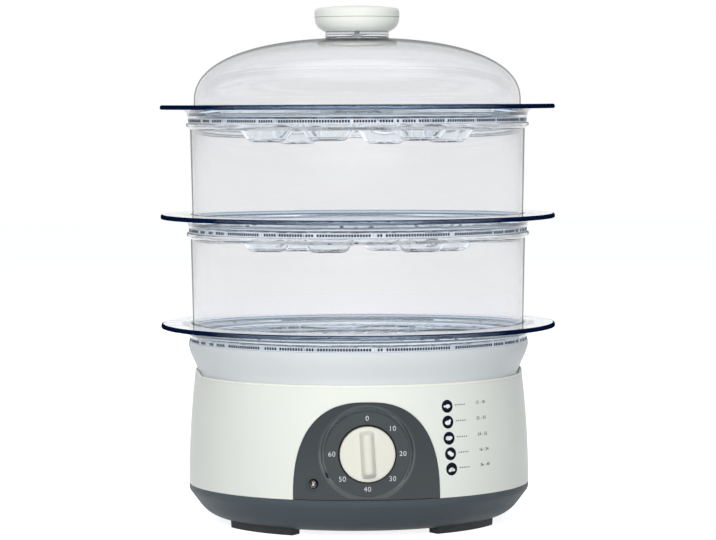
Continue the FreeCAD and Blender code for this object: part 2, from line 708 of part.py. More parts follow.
def water_tank():
    """Basin and well in one moulding, with the heater's hole and posts for the cover."""
    low = TANK_SHOULDER_Z
    inner = TANK_RADIUS - TANK_SHOULDER
    basin = turned_outline([
        (TANK_RADIUS, RIM_Z),
        (TANK_RADIUS, low),
        (inner, low),
        (inner, TANK_STEP_Z - TANK_WALL, BASIN_ROUND),
        (WELL_RADIUS, TANK_STEP_Z - TANK_WALL - TANK_FALL, WELL_BROW_ROUND),
        (WELL_RADIUS, WELL_FLOOR_Z - TANK_WALL, BASIN_ROUND),
        (HEATER_HOLE_RADIUS, WELL_FLOOR_Z - TANK_WALL),
        (HEATER_HOLE_RADIUS, WELL_FLOOR_Z),
        (WELL_RADIUS - TANK_WALL, WELL_FLOOR_Z, BASIN_ROUND - TANK_WALL),
        (WELL_RADIUS - TANK_WALL, TANK_STEP_Z, WELL_BROW_ROUND),
        (inner - TANK_WALL, TANK_STEP_Z, BASIN_ROUND - TANK_WALL),
        (inner - TANK_WALL, low + TANK_WALL, SHOULDER_ROUND),
        (TANK_RADIUS - TANK_WALL, low + TANK_WALL + TANK_FALL, SHOULDER_ROUND),
        (TANK_RADIUS - TANK_WALL, RIM_Z),
    ])
    post_low = COVER_FLOOR_Z
    post_high = WELL_FLOOR_Z - TANK_WALL / 2
    pilot_length = COVER_SCREW_LENGTH - COVER_WALL + PILOT_SPARE
    post = rod(TANK_POST_RADIUS, vec(COVER_SCREW_CIRCLE, 0, post_low), UP, post_high - post_low)
    pilot = rod(SCREW_RADIUS, vec(COVER_SCREW_CIRCLE, 0, post_low), UP, pilot_length)
    heater_hole = heater_screw_hole(CLAMP_Z)
    solid = joined(basin, *around(post, COVER_SCREW_COUNT, COVER_SCREW_TURN))
    return solid.cut(around(pilot, COVER_SCREW_COUNT, COVER_SCREW_TURN)
                     + around(heater_hole, CLAMP_SCREW_COUNT, HEATER_TURN))


def bottom_cover():
    """Dark dish that closes the base, with screw holes, air slots and the cord's slot."""
    dish = cover_form(0).cut(cover_form(COVER_WALL))
    outer = SEAM_RADIUS - HOUSING_WALL - TONGUE_GAP
    root = SEAM_RADIUS - COVER_WALL * 0.75
    tongue = turned_outline([
        (outer - TONGUE_WALL, SEAM_Z - TONGUE_ROOT),
        (root, SEAM_Z - TONGUE_ROOT),
        (root, SEAM_Z - PANEL_SEAM_GAP),
        (outer, SEAM_Z - PANEL_SEAM_GAP),
        (outer, SEAM_Z + TONGUE_RISE),
        (outer - TONGUE_WALL, SEAM_Z + TONGUE_RISE),
    ])
    hole = rod(SCREW_RADIUS + SCREW_CLEARANCE, vec(COVER_SCREW_CIRCLE, 0, 0), UP, SEAM_Z)
    slot = block((AIR_SLOT_START, -AIR_SLOT_WIDTH / 2, 0),
                 (AIR_SLOT_END, AIR_SLOT_WIDTH / 2, COVER_FLOOR_Z))
    cuts = around(hole, COVER_SCREW_COUNT, COVER_SCREW_TURN) + around(slot, AIR_SLOT_COUNT)
    bite_z = COVER_FLOOR_Z - FLOOR_BITE
    block_hole = rod(SCREW_RADIUS, vec(BLOCK_PITCH / 2, BLOCK_Y, bite_z), UP, FLOOR_BITE)
    saddle_holes = [rod(SCREW_RADIUS, vec(side * CLAMP_SADDLE_SCREW_X, CLAMP_SADDLE_Y, bite_z), UP,
                        FLOOR_BITE) for side in (-1, 1)]
    tongue = tongue.cut(arch_form(PANEL_LEDGE_OUT + PANEL_GAP * 2))
    return joined(dish, tongue).cut(cuts + saddle_holes + [block_hole, gland_slot()])


def cover_screws():
    """Four screws up through the bottom cover into the tank's posts."""
    one = screw(vec(COVER_SCREW_CIRCLE, 0, COVER_BOTTOM_Z), UP, COVER_SCREW_LENGTH)
    return Part.makeCompound(around(one, COVER_SCREW_COUNT, COVER_SCREW_TURN))


def foot(bearing_degrees):
    """A rubber pad that follows the cover's underside."""
    pad = turned_outline([
        (FOOT_INNER_RADIUS, 0, FOOT_ROUND),
        (FOOT_OUTER_RADIUS, 0, FOOT_ROUND),
        (FOOT_OUTER_RADIUS + FOOT_DRAFT, FOOT_TALL),
        (FOOT_INNER_RADIUS, FOOT_TALL),
    ])
    wedge = sector(BEYOND, FOOT_HALF_ANGLE, bearing_degrees, -FOOT_TALL, 2 * FOOT_TALL)
    return pad.common(wedge).cut(cover_form(0))


# ---------------------------------------------------------------- cord inlet
def gland_start():
    return vec(0, SEAM_RADIUS + GLAND_HEAD, SEAM_Z)


def gland_slot():
    """The round opening on the seam that the gland is trapped in."""
    start = vec(0, SEAM_RADIUS - GLAND_LENGTH, SEAM_Z)
    return rod(GLAND_RADIUS, start, OUT_BACK, 2 * GLAND_LENGTH)


def cord_gland():
    """Flanged rubber bush, trapped between the housing and the bottom cover."""
    head = rod(GLAND_HEAD_RADIUS, gland_start(), OUT_FRONT, GLAND_HEAD)
    curved_back = rod(SEAM_RADIUS, vec(0, 0, 0), UP, 2 * SEAM_Z)
    barrel = rod(GLAND_RADIUS, gland_start(), OUT_FRONT, GLAND_LENGTH)
    bore = rod(GLAND_BORE_RADIUS, gland_start(), OUT_FRONT, GLAND_LENGTH)
    return joined(head.cut(curved_back), barrel).cut(bore)


def cord_clamp():
    """Saddle on the cover's floor that would grip the cord inside the base."""
    half_long = CLAMP_SADDLE_LONG / 2
    y, low = CLAMP_SADDLE_Y, COVER_FLOOR_Z
    top = low + CLAMP_SADDLE_FOOT
    base = block((-CLAMP_SADDLE_HALF, y - half_long, low), (CLAMP_SADDLE_HALF, y + half_long, top))
    bridge = rod(CLAMP_SADDLE_RADIUS, vec(0, y - half_long, top), OUT_BACK, CLAMP_SADDLE_LONG)
    hollow = rod(GLAND_BORE_RADIUS, vec(0, y - half_long, top), OUT_BACK, CLAMP_SADDLE_LONG)
    below = block((-CLAMP_SADDLE_HALF, y - half_long, low - CLAMP_SADDLE_RADIUS),
                  (CLAMP_SADDLE_HALF, y + half_long, low))
    holes = [rod(SCREW_RADIUS, vec(side * CLAMP_SADDLE_SCREW_X, y, low), UP, CLAMP_SADDLE_FOOT)
             for side in (-1, 1)]
    return joined(base, bridge).cut(holes + [hollow, below])


def cord_clamp_screws():
    """Two screws down through the saddle."""
    top = COVER_FLOOR_Z + CLAMP_SADDLE_FOOT
    return Part.makeCompound([
        screw(vec(side * CLAMP_SADDLE_SCREW_X, CLAMP_SADDLE_Y, top), DOWN,
              CLAMP_SADDLE_FOOT + FLOOR_BITE)
        for side in (-1, 1)])


# ---------------------------------------------------------------- heater
def heater_screw_hole(z_low):
    """The hole of a heater screw, from z_low up to the middle of the plate."""
    top = PLATE_Z + PLATE_THICKNESS / 2
    return rod(SCREW_RADIUS, vec(CLAMP_SCREW_CIRCLE, 0, z_low), UP, top - z_low)


def heater_holes(z_low):
    return around(heater_screw_hole(z_low), CLAMP_SCREW_COUNT, HEATER_TURN)


def heating_plate():
    """Round plate that closes the tank's floor, tapped from below for the four screws."""
    plate = turned_outline([
        (0, PLATE_Z),
        (PLATE_RADIUS, PLATE_Z),
        (PLATE_RADIUS, PLATE_Z + PLATE_THICKNESS, 0.5),
        (0, PLATE_Z + PLATE_THICKNESS),
    ])
    return plate.cut(heater_holes(PLATE_Z))


def heater_gasket():
    ring = tube(PLATE_RADIUS, HEATER_HOLE_RADIUS, vec(0, 0, WELL_FLOOR_Z), UP, GASKET_THICKNESS)
    return ring.cut(heater_holes(WELL_FLOOR_Z))


def heater_clamp():
    """Steel ring under the tank's floor."""
    ring = tube(PLATE_RADIUS, HEATER_HOLE_RADIUS, vec(0, 0, CLAMP_Z), UP, CLAMP_THICKNESS)
    return ring.cut(heater_holes(CLAMP_Z))


def thermostat_strap():
    """Steel strip across the clamp ring that presses the thermostat up against the plate."""
    half = CLAMP_SCREW_CIRCLE + STRAP_WIDTH / 2
    strip = block((-half, -STRAP_WIDTH / 2, STRAP_Z), (half, STRAP_WIDTH / 2, CLAMP_Z))
    hole = rod(SCREW_RADIUS, vec(CLAMP_SCREW_CIRCLE, 0, STRAP_Z), UP, STRAP_THICKNESS)
    strip = strip.cut(around(hole, 2))
    strip.rotate(ORIGIN, UP, HEATER_TURN)
    return strip


def heater_screws():
    """Four screws from below; two of them also hold the thermostat's strap."""
    top = PLATE_Z + PLATE_THICKNESS / 2
    screws = []
    for i in range(CLAMP_SCREW_COUNT):
        bearing = HEATER_TURN + i * 360.0 / CLAMP_SCREW_COUNT
        head_z = STRAP_Z if i % 2 == 0 else CLAMP_Z
        screws.append(screw(polar(CLAMP_SCREW_CIRCLE, bearing, head_z), UP, top - head_z))
    return Part.makeCompound(screws)


def heating_element():
    """Sheathed element bent into a ring, brazed under the plate, its two ends turned down."""
    z = PLATE_Z - ELEMENT_RADIUS
    sweep = 360.0 - ELEMENT_GAP_ANGLE
    ring = Part.makeTorus(ELEMENT_CIRCLE, ELEMENT_RADIUS, vec(0, 0, z), UP, -180, 180, sweep)
    ring.rotate(ORIGIN, UP, 90.0 + ELEMENT_GAP_ANGLE / 2)
    ends = [polar(ELEMENT_CIRCLE, 90.0 + side * ELEMENT_GAP_ANGLE / 2, z) for side in (-1, 1)]
    knuckles = [Part.makeSphere(ELEMENT_RADIUS, end) for end in ends]
    tails = [rod(ELEMENT_RADIUS, end, DOWN, ELEMENT_TAIL) for end in ends]
    return joined(ring, *knuckles, *tails)


def thermostat():
    """Disc thermostat between the plate and the strap, with two flat tabs."""
    can = rod(THERMOSTAT_RADIUS, vec(0, 0, CLAMP_Z), UP, PLATE_Z - CLAMP_Z)
    tabs = []
    low = CLAMP_Z + THERMOSTAT_TAB_RISE
    for bearing in THERMOSTAT_BEARINGS:
        tab = block((0, -THERMOSTAT_TAB_HALF, low),
                    (THERMOSTAT_RADIUS + THERMOSTAT_TAB, THERMOSTAT_TAB_HALF,
                     low + THERMOSTAT_TAB_THICKNESS))
        tab.rotate(ORIGIN, UP, bearing)
        tabs.append(tab)
    return joined(can, *tabs)


def thermal_fuse():
    """Small sealed fuse that lies under the strap."""
    start = polar(FUSE_AT, HEATER_TURN, STRAP_Z - FUSE_RADIUS)
    along = polar(1.0, HEATER_TURN)
    return rod(FUSE_RADIUS, start, along, FUSE_LENGTH)


def steam_ring():
    """Loose tapered collar round the heating plate, notched at its foot to let water in."""
    collar = turned_outline([
        (STEAM_RING_FOOT_RADIUS - STEAM_RING_WALL, WELL_FLOOR_Z),
        (STEAM_RING_FOOT_RADIUS, WELL_FLOOR_Z),
        (STEAM_RING_TOP_RADIUS, STEAM_RING_TOP_Z, EDGE_ROUND),
        (STEAM_RING_TOP_RADIUS - STEAM_RING_WALL, STEAM_RING_TOP_Z, EDGE_ROUND),
    ])
    start = vec(0, 0, WELL_FLOOR_Z)
    notch = rod(STEAM_RING_NOTCH_RADIUS, start, vec(1, 0, 0), 2 * STEAM_RING_FOOT_RADIUS)
    return collar.cut(around(notch, STEAM_RING_NOTCHES))


# ---------------------------------------------------------------- control panel
def panel_hook(side, z):
    """A snap hook behind the panel that catches the housing's ledge."""
    x = side * PANEL_HOOK_X
    outer = side * (PANEL_HOOK_X + PANEL_HOOK_WIDTH)
    tip = side * (PANEL_HOOK_X + PANEL_HOOK_WIDTH + PANEL_HOOK_BARB)
    inside = PANEL_PROUD - PANEL_PLATE
    back = body_form(inside - PANEL_GAP - PANEL_LEDGE_WALL - PANEL_GAP)
    deep = body_form(inside - PANEL_LEDGE_WALL - PANEL_HOOK_BARB_DEPTH)
    low, high = z, z + PANEL_HOOK_HEIGHT
    stem = block((min(x, outer), -SEAM_RADIUS, low), (max(x, outer), PANEL_HOOK_BACK_Y, high))
    barb = block((min(x, tip), -SEAM_RADIUS, low), (max(x, tip), PANEL_HOOK_BACK_Y, high))
    stem = stem.common(body_form(PANEL_PROUD - PANEL_PLATE / 2))
    return joined(stem, barb.common(back)).cut(deep)


def control_panel():
    """Curved arch with a flat round dial, a pocket for the knob and posts for the bracket."""
    skin = arch_form(0).common(body_form(PANEL_PROUD).cut(body_form(PANEL_PROUD - PANEL_PLATE)))
    below = block((-BEYOND, -BEYOND, 0), (BEYOND, BEYOND, SEAM_Z + PANEL_SEAM_GAP))
    boss = on_dial(turned_outline([
        (0, 0),
        (DIAL_RADIUS, 0, DIAL_EDGE_ROUND),
        (DIAL_RADIUS, -DIAL_DEPTH),
        (0, -DIAL_DEPTH),
    ]))
    hollow = on_dial(rod(DIAL_RADIUS - DIAL_SIDE, vec(0, 0, -BEYOND), UP, BEYOND - DIAL_PLATE))
    pocket = on_dial(rod(POCKET_RADIUS + POCKET_WALL, vec(0, 0, -POCKET_DEPTH - POCKET_WALL), UP,
                         POCKET_DEPTH + POCKET_WALL))
    pocket_space = on_dial(rod(POCKET_RADIUS, vec(0, 0, -POCKET_DEPTH), UP, POCKET_DEPTH))
    shaft_hole = on_shaft(SHAFT_RADIUS + SHAFT_CLEARANCE, -BEYOND, BEYOND)
    posts = [rod(POST_RADIUS, vec(x, BRACKET_FACE_Y, z), OUT_FRONT, POST_LENGTH)
             for x, z in bracket_screw_spots()]
    pilots = [rod(SCREW_RADIUS, vec(x, BRACKET_FACE_Y, z), OUT_FRONT, POST_PILOT)
              for x, z in bracket_screw_spots()]
    posts = [post.common(body_form(PANEL_PROUD - PANEL_PLATE / 2)) for post in posts]
    shell = joined(skin.cut(below), boss).cut(hollow)
    hooks = [panel_hook(1, SEAM_Z + PANEL_HOOK_LOW)]
    hooks += [panel_hook(side, SEAM_Z + PANEL_HOOK_HIGH) for side in (-1, 1)]
    face, outward = lamp_frame()
    inward = outward * -1
    ahead = face + outward * PANEL_PLATE
    lamp_hole = rod(LENS_RADIUS + LENS_GAP, ahead, inward, 4 * PANEL_PLATE)
    recess = rod(LAMP_RECESS_RADIUS, ahead, inward, PANEL_PLATE + LAMP_RECESS_DEPTH)
    solid = joined(shell, pocket, *posts, *hooks)
    return solid.cut([pocket_space, shaft_hole, lamp_hole, recess] + pilots)


def indicator_lens():
    """Clear domed lens pushed through the panel from behind."""
    face, outward = lamp_frame()
    back = face + outward * -(LAMP_BACK)
    flange = rod(LENS_FLANGE_RADIUS, back, outward * -1, LENS_FLANGE)
    stem = rod(LENS_RADIUS, back + outward * -LENS_FLANGE, outward, LENS_FLANGE + LAMP_BACK)
    ball_radius = (LENS_RADIUS ** 2 + LENS_PROUD ** 2) / (2 * LENS_PROUD)
    ball = Part.makeSphere(ball_radius, face + outward * (LENS_PROUD - ball_radius))
    cap = ball.common(rod(LENS_RADIUS, face, outward, LENS_PROUD * 2))
    return joined(flange, stem, cap)


def lamp_holder():
    """Sleeve behind the lens that carries the neon lamp."""
    face, outward = lamp_frame()
    start = face + outward * -(LAMP_BACK + LENS_FLANGE)
    inward = outward * -1
    sleeve = rod(LAMP_HOLDER_RADIUS, start, inward, LAMP_HOLDER_LENGTH)
    bore = rod(LAMP_HOLDER_RADIUS - LAMP_HOLDER_WALL, start, inward,
               LAMP_HOLDER_LENGTH - LAMP_HOLDER_WALL)
    return sleeve.cut(bore)


def neon_lamp():
    """Glass bulb with a round nose, standing on the holder's floor."""
    face, outward = lamp_frame()
    inner_end = LAMP_BACK + LENS_FLANGE + LAMP_HOLDER_LENGTH - LAMP_HOLDER_WALL
    floor = face + outward * -inner_end
    tube_part = rod(NEON_RADIUS, floor, outward, NEON_LENGTH - NEON_RADIUS)
    nose = Part.makeSphere(NEON_RADIUS, floor + outward * (NEON_LENGTH - NEON_RADIUS))
    return joined(tube_part, nose)


# ---------------------------------------------------------------- timer
def timer_bracket():
    """Steel plate on the panel's posts that carries the timer."""
    plate = block((-BRACKET_HALF_WIDTH, BRACKET_FACE_Y, DIAL_Z - BRACKET_HALF_HEIGHT),
                  (BRACKET_HALF_WIDTH, TIMER_FRONT_Y, DIAL_Z + BRACKET_HALF_HEIGHT))
    corner = POST_X - POST_RADIUS - BRACKET_EAR_X
    height = BRACKET_HALF_HEIGHT - POST_RISE - BRACKET_EAR_Z
    for side in (-1, 1):
        low_x, high_x = sorted((side * corner, side * BRACKET_HALF_WIDTH))
        for z_low in (DIAL_Z - BRACKET_HALF_HEIGHT, DIAL_Z + BRACKET_HALF_HEIGHT - height):
            plate = plate.cut(block((low_x, BRACKET_FACE_Y, z_low),
                                    (high_x, TIMER_FRONT_Y, z_low + height)))
    holes = [rod(SCREW_RADIUS, vec(x, BRACKET_FACE_Y, z), OUT_BACK, BRACKET_THICKNESS)
             for x, z in bracket_screw_spots() + timer_screw_spots()]
    shaft_hole = on_shaft(SHAFT_RADIUS + BEARING_CLEARANCE, BRACKET_FACE_Y, BRACKET_THICKNESS)
    arbor_hole = rod(ARBOR_RADIUS + BEARING_CLEARANCE, arbor_point(BRACKET_FACE_Y), OUT_BACK,
                     BRACKET_THICKNESS)
    return plate.cut(holes + [shaft_hole, arbor_hole])


def bracket_screw_spots():
    return [(x, z) for x in (-POST_X, POST_X)
            for z in (DIAL_Z - POST_RISE, DIAL_Z + POST_RISE)]


def timer_screw_spots():
    return [(side * (TIMER_WIDTH + TIMER_LUG) / 2, DIAL_Z) for side in (-1, 1)]


def arbor_point(y):
    """A point on the pinion's arbor."""
    distance = WHEEL_MODULE * (MAIN_TEETH + PINION_TEETH) / 2
    spot = polar(distance, PINION_BEARING)
    return vec(spot.x, y, DIAL_Z + spot.y)


def bracket_screws():
    return Part.makeCompound([screw(vec(x, TIMER_FRONT_Y, z), OUT_FRONT,
                                    BRACKET_THICKNESS + BRACKET_SCREW_BITE)
                              for x, z in bracket_screw_spots()])


def timer_screws():
    return Part.makeCompound([
        screw(vec(x, TIMER_FRONT_Y + TIMER_WALL, z), OUT_FRONT, TIMER_WALL + BRACKET_THICKNESS)
        for x, z in timer_screw_spots()])


def timer_case():
    """Open-fronted can behind the bracket, with a lug each side and a bearing in its back."""
    half_width, half_height = TIMER_WIDTH / 2, TIMER_HEIGHT / 2
    can = block((-half_width, TIMER_FRONT_Y, DIAL_Z - half_height),
                (half_width, TIMER_BACK_Y, DIAL_Z + half_height))
    space = block((-half_width + TIMER_WALL, TIMER_FRONT_Y, DIAL_Z - half_height + TIMER_WALL),
                  (half_width - TIMER_WALL, TIMER_BACK_Y - TIMER_WALL,
                   DIAL_Z + half_height - TIMER_WALL))
    lugs = block((-half_width - TIMER_LUG, TIMER_FRONT_Y, DIAL_Z - TIMER_LUG_HEIGHT / 2),
                 (half_width + TIMER_LUG, TIMER_FRONT_Y + TIMER_WALL,
                  DIAL_Z + TIMER_LUG_HEIGHT / 2))
    holes = [rod(SCREW_RADIUS, vec(x, TIMER_FRONT_Y, z), OUT_BACK, TIMER_WALL)
             for x, z in timer_screw_spots()]
    bearings = [on_shaft(SHAFT_RADIUS + BEARING_CLEARANCE, TIMER_FRONT_Y, BEYOND),
                rod(ARBOR_RADIUS + BEARING_CLEARANCE, arbor_point(TIMER_FRONT_Y), OUT_BACK, BEYOND)]
    slots = [blade_tab(i, BLADE_GAP) for i in range(2)]
    return joined(can, lugs).cut([space] + holes + bearings + slots)


def timer_shaft():
    """Steel shaft with a flat at its front for the knob."""
    length = TIMER_BACK_Y - SHAFT_TIP_Y
    shaft = on_shaft(SHAFT_RADIUS, SHAFT_TIP_Y, length)
    flat = block((-SHAFT_RADIUS, SHAFT_TIP_Y, DIAL_Z + SHAFT_FLAT),
                 (SHAFT_RADIUS, KNOB_BACK_Y, DIAL_Z + SHAFT_RADIUS))
    return shaft.cut(flat)


def timer_main_wheel():
    """Toothed wheel on the shaft; at rest a tooth points at the pinion."""
    wheel = gear(MAIN_TEETH, WHEEL_THICKNESS, 0.0)
    wheel = wheel.cut(rod(SHAFT_RADIUS, ORIGIN, UP, WHEEL_THICKNESS))
    return in_train(wheel, PINION_BEARING, vec(0, WHEEL_Y, DIAL_Z))


def timer_pinion():
    """Pinion and its arbor in one piece; at rest a gap faces the wheel's tooth."""
    wheel = gear(PINION_TEETH, WHEEL_THICKNESS, 180.0 / PINION_TEETH)
    wheel = in_train(wheel, 180.0 + PINION_BEARING, arbor_point(WHEEL_Y))
    return joined(wheel, rod(ARBOR_RADIUS, arbor_point(BRACKET_FACE_Y), OUT_BACK,
                             TIMER_BACK_Y - BRACKET_FACE_Y))


def timer_escape_wheel():
    """Small toothed wheel on the pinion's arbor that the ticking catch would hold back."""
    wheel = gear(ESCAPE_TEETH, WHEEL_THICKNESS / 2, 0.0)
    wheel = wheel.cut(rod(ARBOR_RADIUS, ORIGIN, UP, WHEEL_THICKNESS))
    return in_train(wheel, 0.0, arbor_point(CAM_Y))


def in_train(shape, bearing, place):
    """Turns a wheel made about +Z so that it lies in the timer, its first side at bearing."""
    shape.rotate(ORIGIN, UP, bearing)
    shape.translate(vec(0, 0, -WHEEL_THICKNESS))
    shape.rotate(ORIGIN, vec(1, 0, 0), 90.0)
    shape.translate(place)
    return shape


def spring_barrel():
    """Closed can round the shaft that holds the mainspring, fixed to the case's floor."""
    can = on_shaft(BARREL_RADIUS, BARREL_Y, BARREL_DEPTH)
    foot = block((-BARREL_FOOT, BARREL_Y, DIAL_Z - TIMER_HEIGHT / 2 + TIMER_WALL),
                 (BARREL_FOOT, BARREL_Y + BARREL_DEPTH, DIAL_Z - BARREL_RADIUS + BARREL_FOOT / 2))
    return joined(can, foot).cut(on_shaft(SHAFT_RADIUS + SHAFT_CLEARANCE, BARREL_Y, BARREL_DEPTH))


def timer_cam():
    """Disc on the shaft whose notch lets the contacts open at zero."""
    disc = on_shaft(CAM_RADIUS, CAM_Y, CAM_THICKNESS).cut(on_shaft(SHAFT_RADIUS, CAM_Y, CAM_THICKNESS))
    notch = rod(CAM_NOTCH_RADIUS, vec(0, CAM_Y, DIAL_Z - CAM_RADIUS), OUT_BACK, CAM_THICKNESS)
    return disc.cut(notch)


def blade_z(i):
    """Underside of a contact blade; the first is next to the cam."""
    return DIAL_Z - CAM_RADIUS - (BLADE_GAP + BLADE_THICKNESS) * (1 + 2 * i)


def blade_x():
    return -TIMER_WIDTH / 2 + TIMER_WALL + BLADE_INSET


def blade_tab(i, gap=0.0):
    """The tab of a contact blade, which leaves the case through its back."""
    x = blade_x() + i * BLADE_TAB_STEP
    z = blade_z(i)
    return block((x - gap, CAM_Y, z - gap),
                 (x + BLADE_WIDTH + gap, TIMER_BACK_Y + BLADE_TAB, z + BLADE_THICKNESS + gap))


def contact_blades():
    """Two leaf contacts under the cam, each in one piece with its tab."""
    blades = []
    for i in range(2):
        leaf = block((blade_x(), CAM_Y, blade_z(i)),
                     (blade_x() + BLADE_LENGTH, CAM_Y + CAM_THICKNESS, blade_z(i) + BLADE_THICKNESS))
        blades.append(joined(leaf, blade_tab(i)))
    return Part.makeCompound(blades)


def contact_block():
    """Moulded block that holds the blades apart on the case's floor."""
    x = -TIMER_WIDTH / 2 + TIMER_WALL
    low = DIAL_Z - TIMER_HEIGHT / 2 + TIMER_WALL
    high = blade_z(0) + BLADE_THICKNESS + BLADE_INSET
    body = block((x, CAM_Y - BLADE_INSET / 2, low),
                 (x + BLADE_BLOCK, CAM_Y + CAM_THICKNESS + BLADE_INSET / 2, high))
    return body.cut(contact_blades().Solids)


def timer_bell():
    """Thin domed bell on the back of the case."""
    cup = rod(BELL_RADIUS, ORIGIN, UP, BELL_DEPTH)
    hollow = rod(BELL_RADIUS - BELL_WALL, ORIGIN, UP, BELL_DEPTH - BELL_WALL)
    stem = rod(BELL_STEM_RADIUS, ORIGIN, UP, BELL_DEPTH)
    lifted = joined(cup.cut(hollow), stem)
    lifted.rotate(ORIGIN, vec(1, 0, 0), -90.0)
    lifted.translate(vec(0, TIMER_BACK_Y, DIAL_Z))
    clear = on_shaft(SHAFT_RADIUS + SHAFT_CLEARANCE, TIMER_BACK_Y, BELL_WALL / 2)
    return lifted.cut(clear)


# ---------------------------------------------------------------- timer knob
def timer_knob():
    """White disc with a grip bar that points at zero, and a hub for the shaft."""
    face = DIAL_KNOB_DISC - DIAL_KNOB_SINK
    disc = turned_outline([
        (0, face),
        (DIAL_KNOB_RADIUS, face, DIAL_KNOB_EDGE),
        (DIAL_KNOB_RADIUS, -DIAL_KNOB_SINK),
        (DIAL_KNOB_RADIUS - DIAL_KNOB_WALL, -DIAL_KNOB_SINK),
        (DIAL_KNOB_RADIUS - DIAL_KNOB_WALL, face - DIAL_KNOB_WALL),
        (0, face - DIAL_KNOB_WALL),
    ])
    hub = rod(HUB_RADIUS, vec(0, 0, -DIAL_KNOB_SINK), UP, DIAL_KNOB_DISC)
    bore = rod(SHAFT_RADIUS + KNOB_BORE_CLEARANCE, vec(0, 0, -DIAL_KNOB_SINK), UP, HUB_DEPTH)
    half = GRIP_LENGTH / 2
    side = outline([
        (-half, face - DIAL_KNOB_WALL),
        (-half, face + GRIP_HEIGHT, GRIP_ROUND),
        (half * GRIP_SHOULDER, face + GRIP_HEIGHT, GRIP_ROUND * 3),
        (half, face + GRIP_TIP_HEIGHT, GRIP_TIP_HEIGHT / 2),
        (half, face - DIAL_KNOB_WALL),
    ])
    bar = Part.Face(side).extrude(vec(0, GRIP_WIDTH, 0))
    bar.translate(vec(0, -GRIP_WIDTH / 2, 0))
    bar.rotate(ORIGIN, UP, 90.0)
    return on_dial(joined(disc, hub, bar).cut(bore))


def knob_clip():
    """Spring strip between the shaft's flat and the knob's bore."""
    low = DIAL_Z + SHAFT_FLAT
    return block((-CLIP_WIDTH / 2, KNOB_BACK_Y - CLIP_LENGTH, low),
                 (CLIP_WIDTH / 2, KNOB_BACK_Y, low + CLIP_THICKNESS))


# ---------------------------------------------------------------- terminal block and leads
def block_way(i):
    """The x position of a way of the terminal block."""
    return (i - (BLOCK_WAYS - 1) / 2) * BLOCK_PITCH


def terminal_block():
    """Moulded block with a bore through each way."""
    y_low, y_high = BLOCK_Y - BLOCK_DEPTH / 2, BLOCK_Y + BLOCK_DEPTH / 2
    body = block((-BLOCK_WIDTH / 2, y_low, COVER_FLOOR_Z),
                 (BLOCK_WIDTH / 2, y_high, COVER_FLOOR_Z + BLOCK_HEIGHT))
    bores = [rod(BLOCK_BORE, vec(block_way(i), y_low, COVER_FLOOR_Z + BLOCK_HEIGHT / 2), OUT_BACK,
                 BLOCK_DEPTH) for i in range(BLOCK_WAYS)]
    hole = rod(SCREW_RADIUS, vec(BLOCK_PITCH / 2, BLOCK_Y, COVER_FLOOR_Z), UP, BLOCK_HEIGHT)
    return body.cut(bores + [hole])


def terminal_block_screw():
    top = vec(BLOCK_PITCH / 2, BLOCK_Y, COVER_FLOOR_Z + BLOCK_HEIGHT)
    return screw(top, DOWN, BLOCK_HEIGHT + FLOOR_BITE)


def block_end(i):
    """Where a lead meets the front of a way, a little inside its bore."""
    return vec(block_way(i), BLOCK_Y - BLOCK_DEPTH / 2 + 2.0, COVER_FLOOR_Z + BLOCK_HEIGHT / 2)


def tab_end(i):
    """Where a lead meets a contact blade's tab."""
    x = blade_x() + i * BLADE_TAB_STEP + BLADE_WIDTH / 2
    return vec(x, TIMER_BACK_Y + BLADE_TAB, blade_z(i) + BLADE_THICKNESS / 2)


def element_end(side):
    spot = polar(ELEMENT_CIRCLE, 90.0 + side * ELEMENT_GAP_ANGLE / 2)
    return vec(spot.x, spot.y, PLATE_Z - ELEMENT_RADIUS - ELEMENT_TAIL)


def thermostat_end(bearing):
    reach = THERMOSTAT_RADIUS + THERMOSTAT_TAB - THERMOSTAT_TAB_HALF
    return polar(reach, bearing, CLAMP_Z + THERMOSTAT_TAB_RISE)


def lead_live():
    """From the terminal block to the timer's first blade."""
    start, end = block_end(1), tab_end(0)
    return wire_lead([
        start, start + vec(0, -16, 0), start + vec(-12, -44, 1), start + vec(-19, -84, 2),
        end + vec(-1, 18, -34), end + vec(0, 5, -18), end + vec(0, 4.0, 0), end])


def lead_switched():
    """From the timer's second blade to the thermostat."""
    start, end = tab_end(1), thermostat_end(THERMOSTAT_BEARINGS[0])
    return wire_lead([
        start, start + vec(0, 4.0, 0), start + vec(0, 5, -20), start + vec(3, 26, -28),
        end + vec(-6, -30, -20), end + vec(0, -3, -16), end + vec(0, 0, -8), end])


def lead_heater():
    """From the thermostat to one end of the heating element."""
    start, end = thermostat_end(THERMOSTAT_BEARINGS[1]), element_end(1)
    return wire_lead([
        start, start + vec(0, 0, -8), start + vec(-2, 4, -17), start + vec(-14, 14, -21),
        end + vec(1, -8, -9), end + vec(0, 0, -6), end])


def lead_neutral():
    """From the other end of the heating element to the terminal block."""
    start, end = block_end(2), element_end(-1)
    return wire_lead([start, start + vec(0, -14, 0), end + vec(0, 2, -14), end + vec(0, 0, -6), end])


def lead_lamp():
    """From the lamp's holder to the terminal block."""
    face, outward = lamp_frame()
    start = face + outward * -(LAMP_BACK + LENS_FLANGE + LAMP_HOLDER_LENGTH)
    end = block_end(0)
    return wire_lead([
        start, start + outward * -7.0, start + outward * -14.0 + vec(-4, 0, -18),
        start + vec(-2, 44, -31), end + vec(-28, -80, 1), end + vec(-17, -42, 0),
        end + vec(0, -16, 0), end])


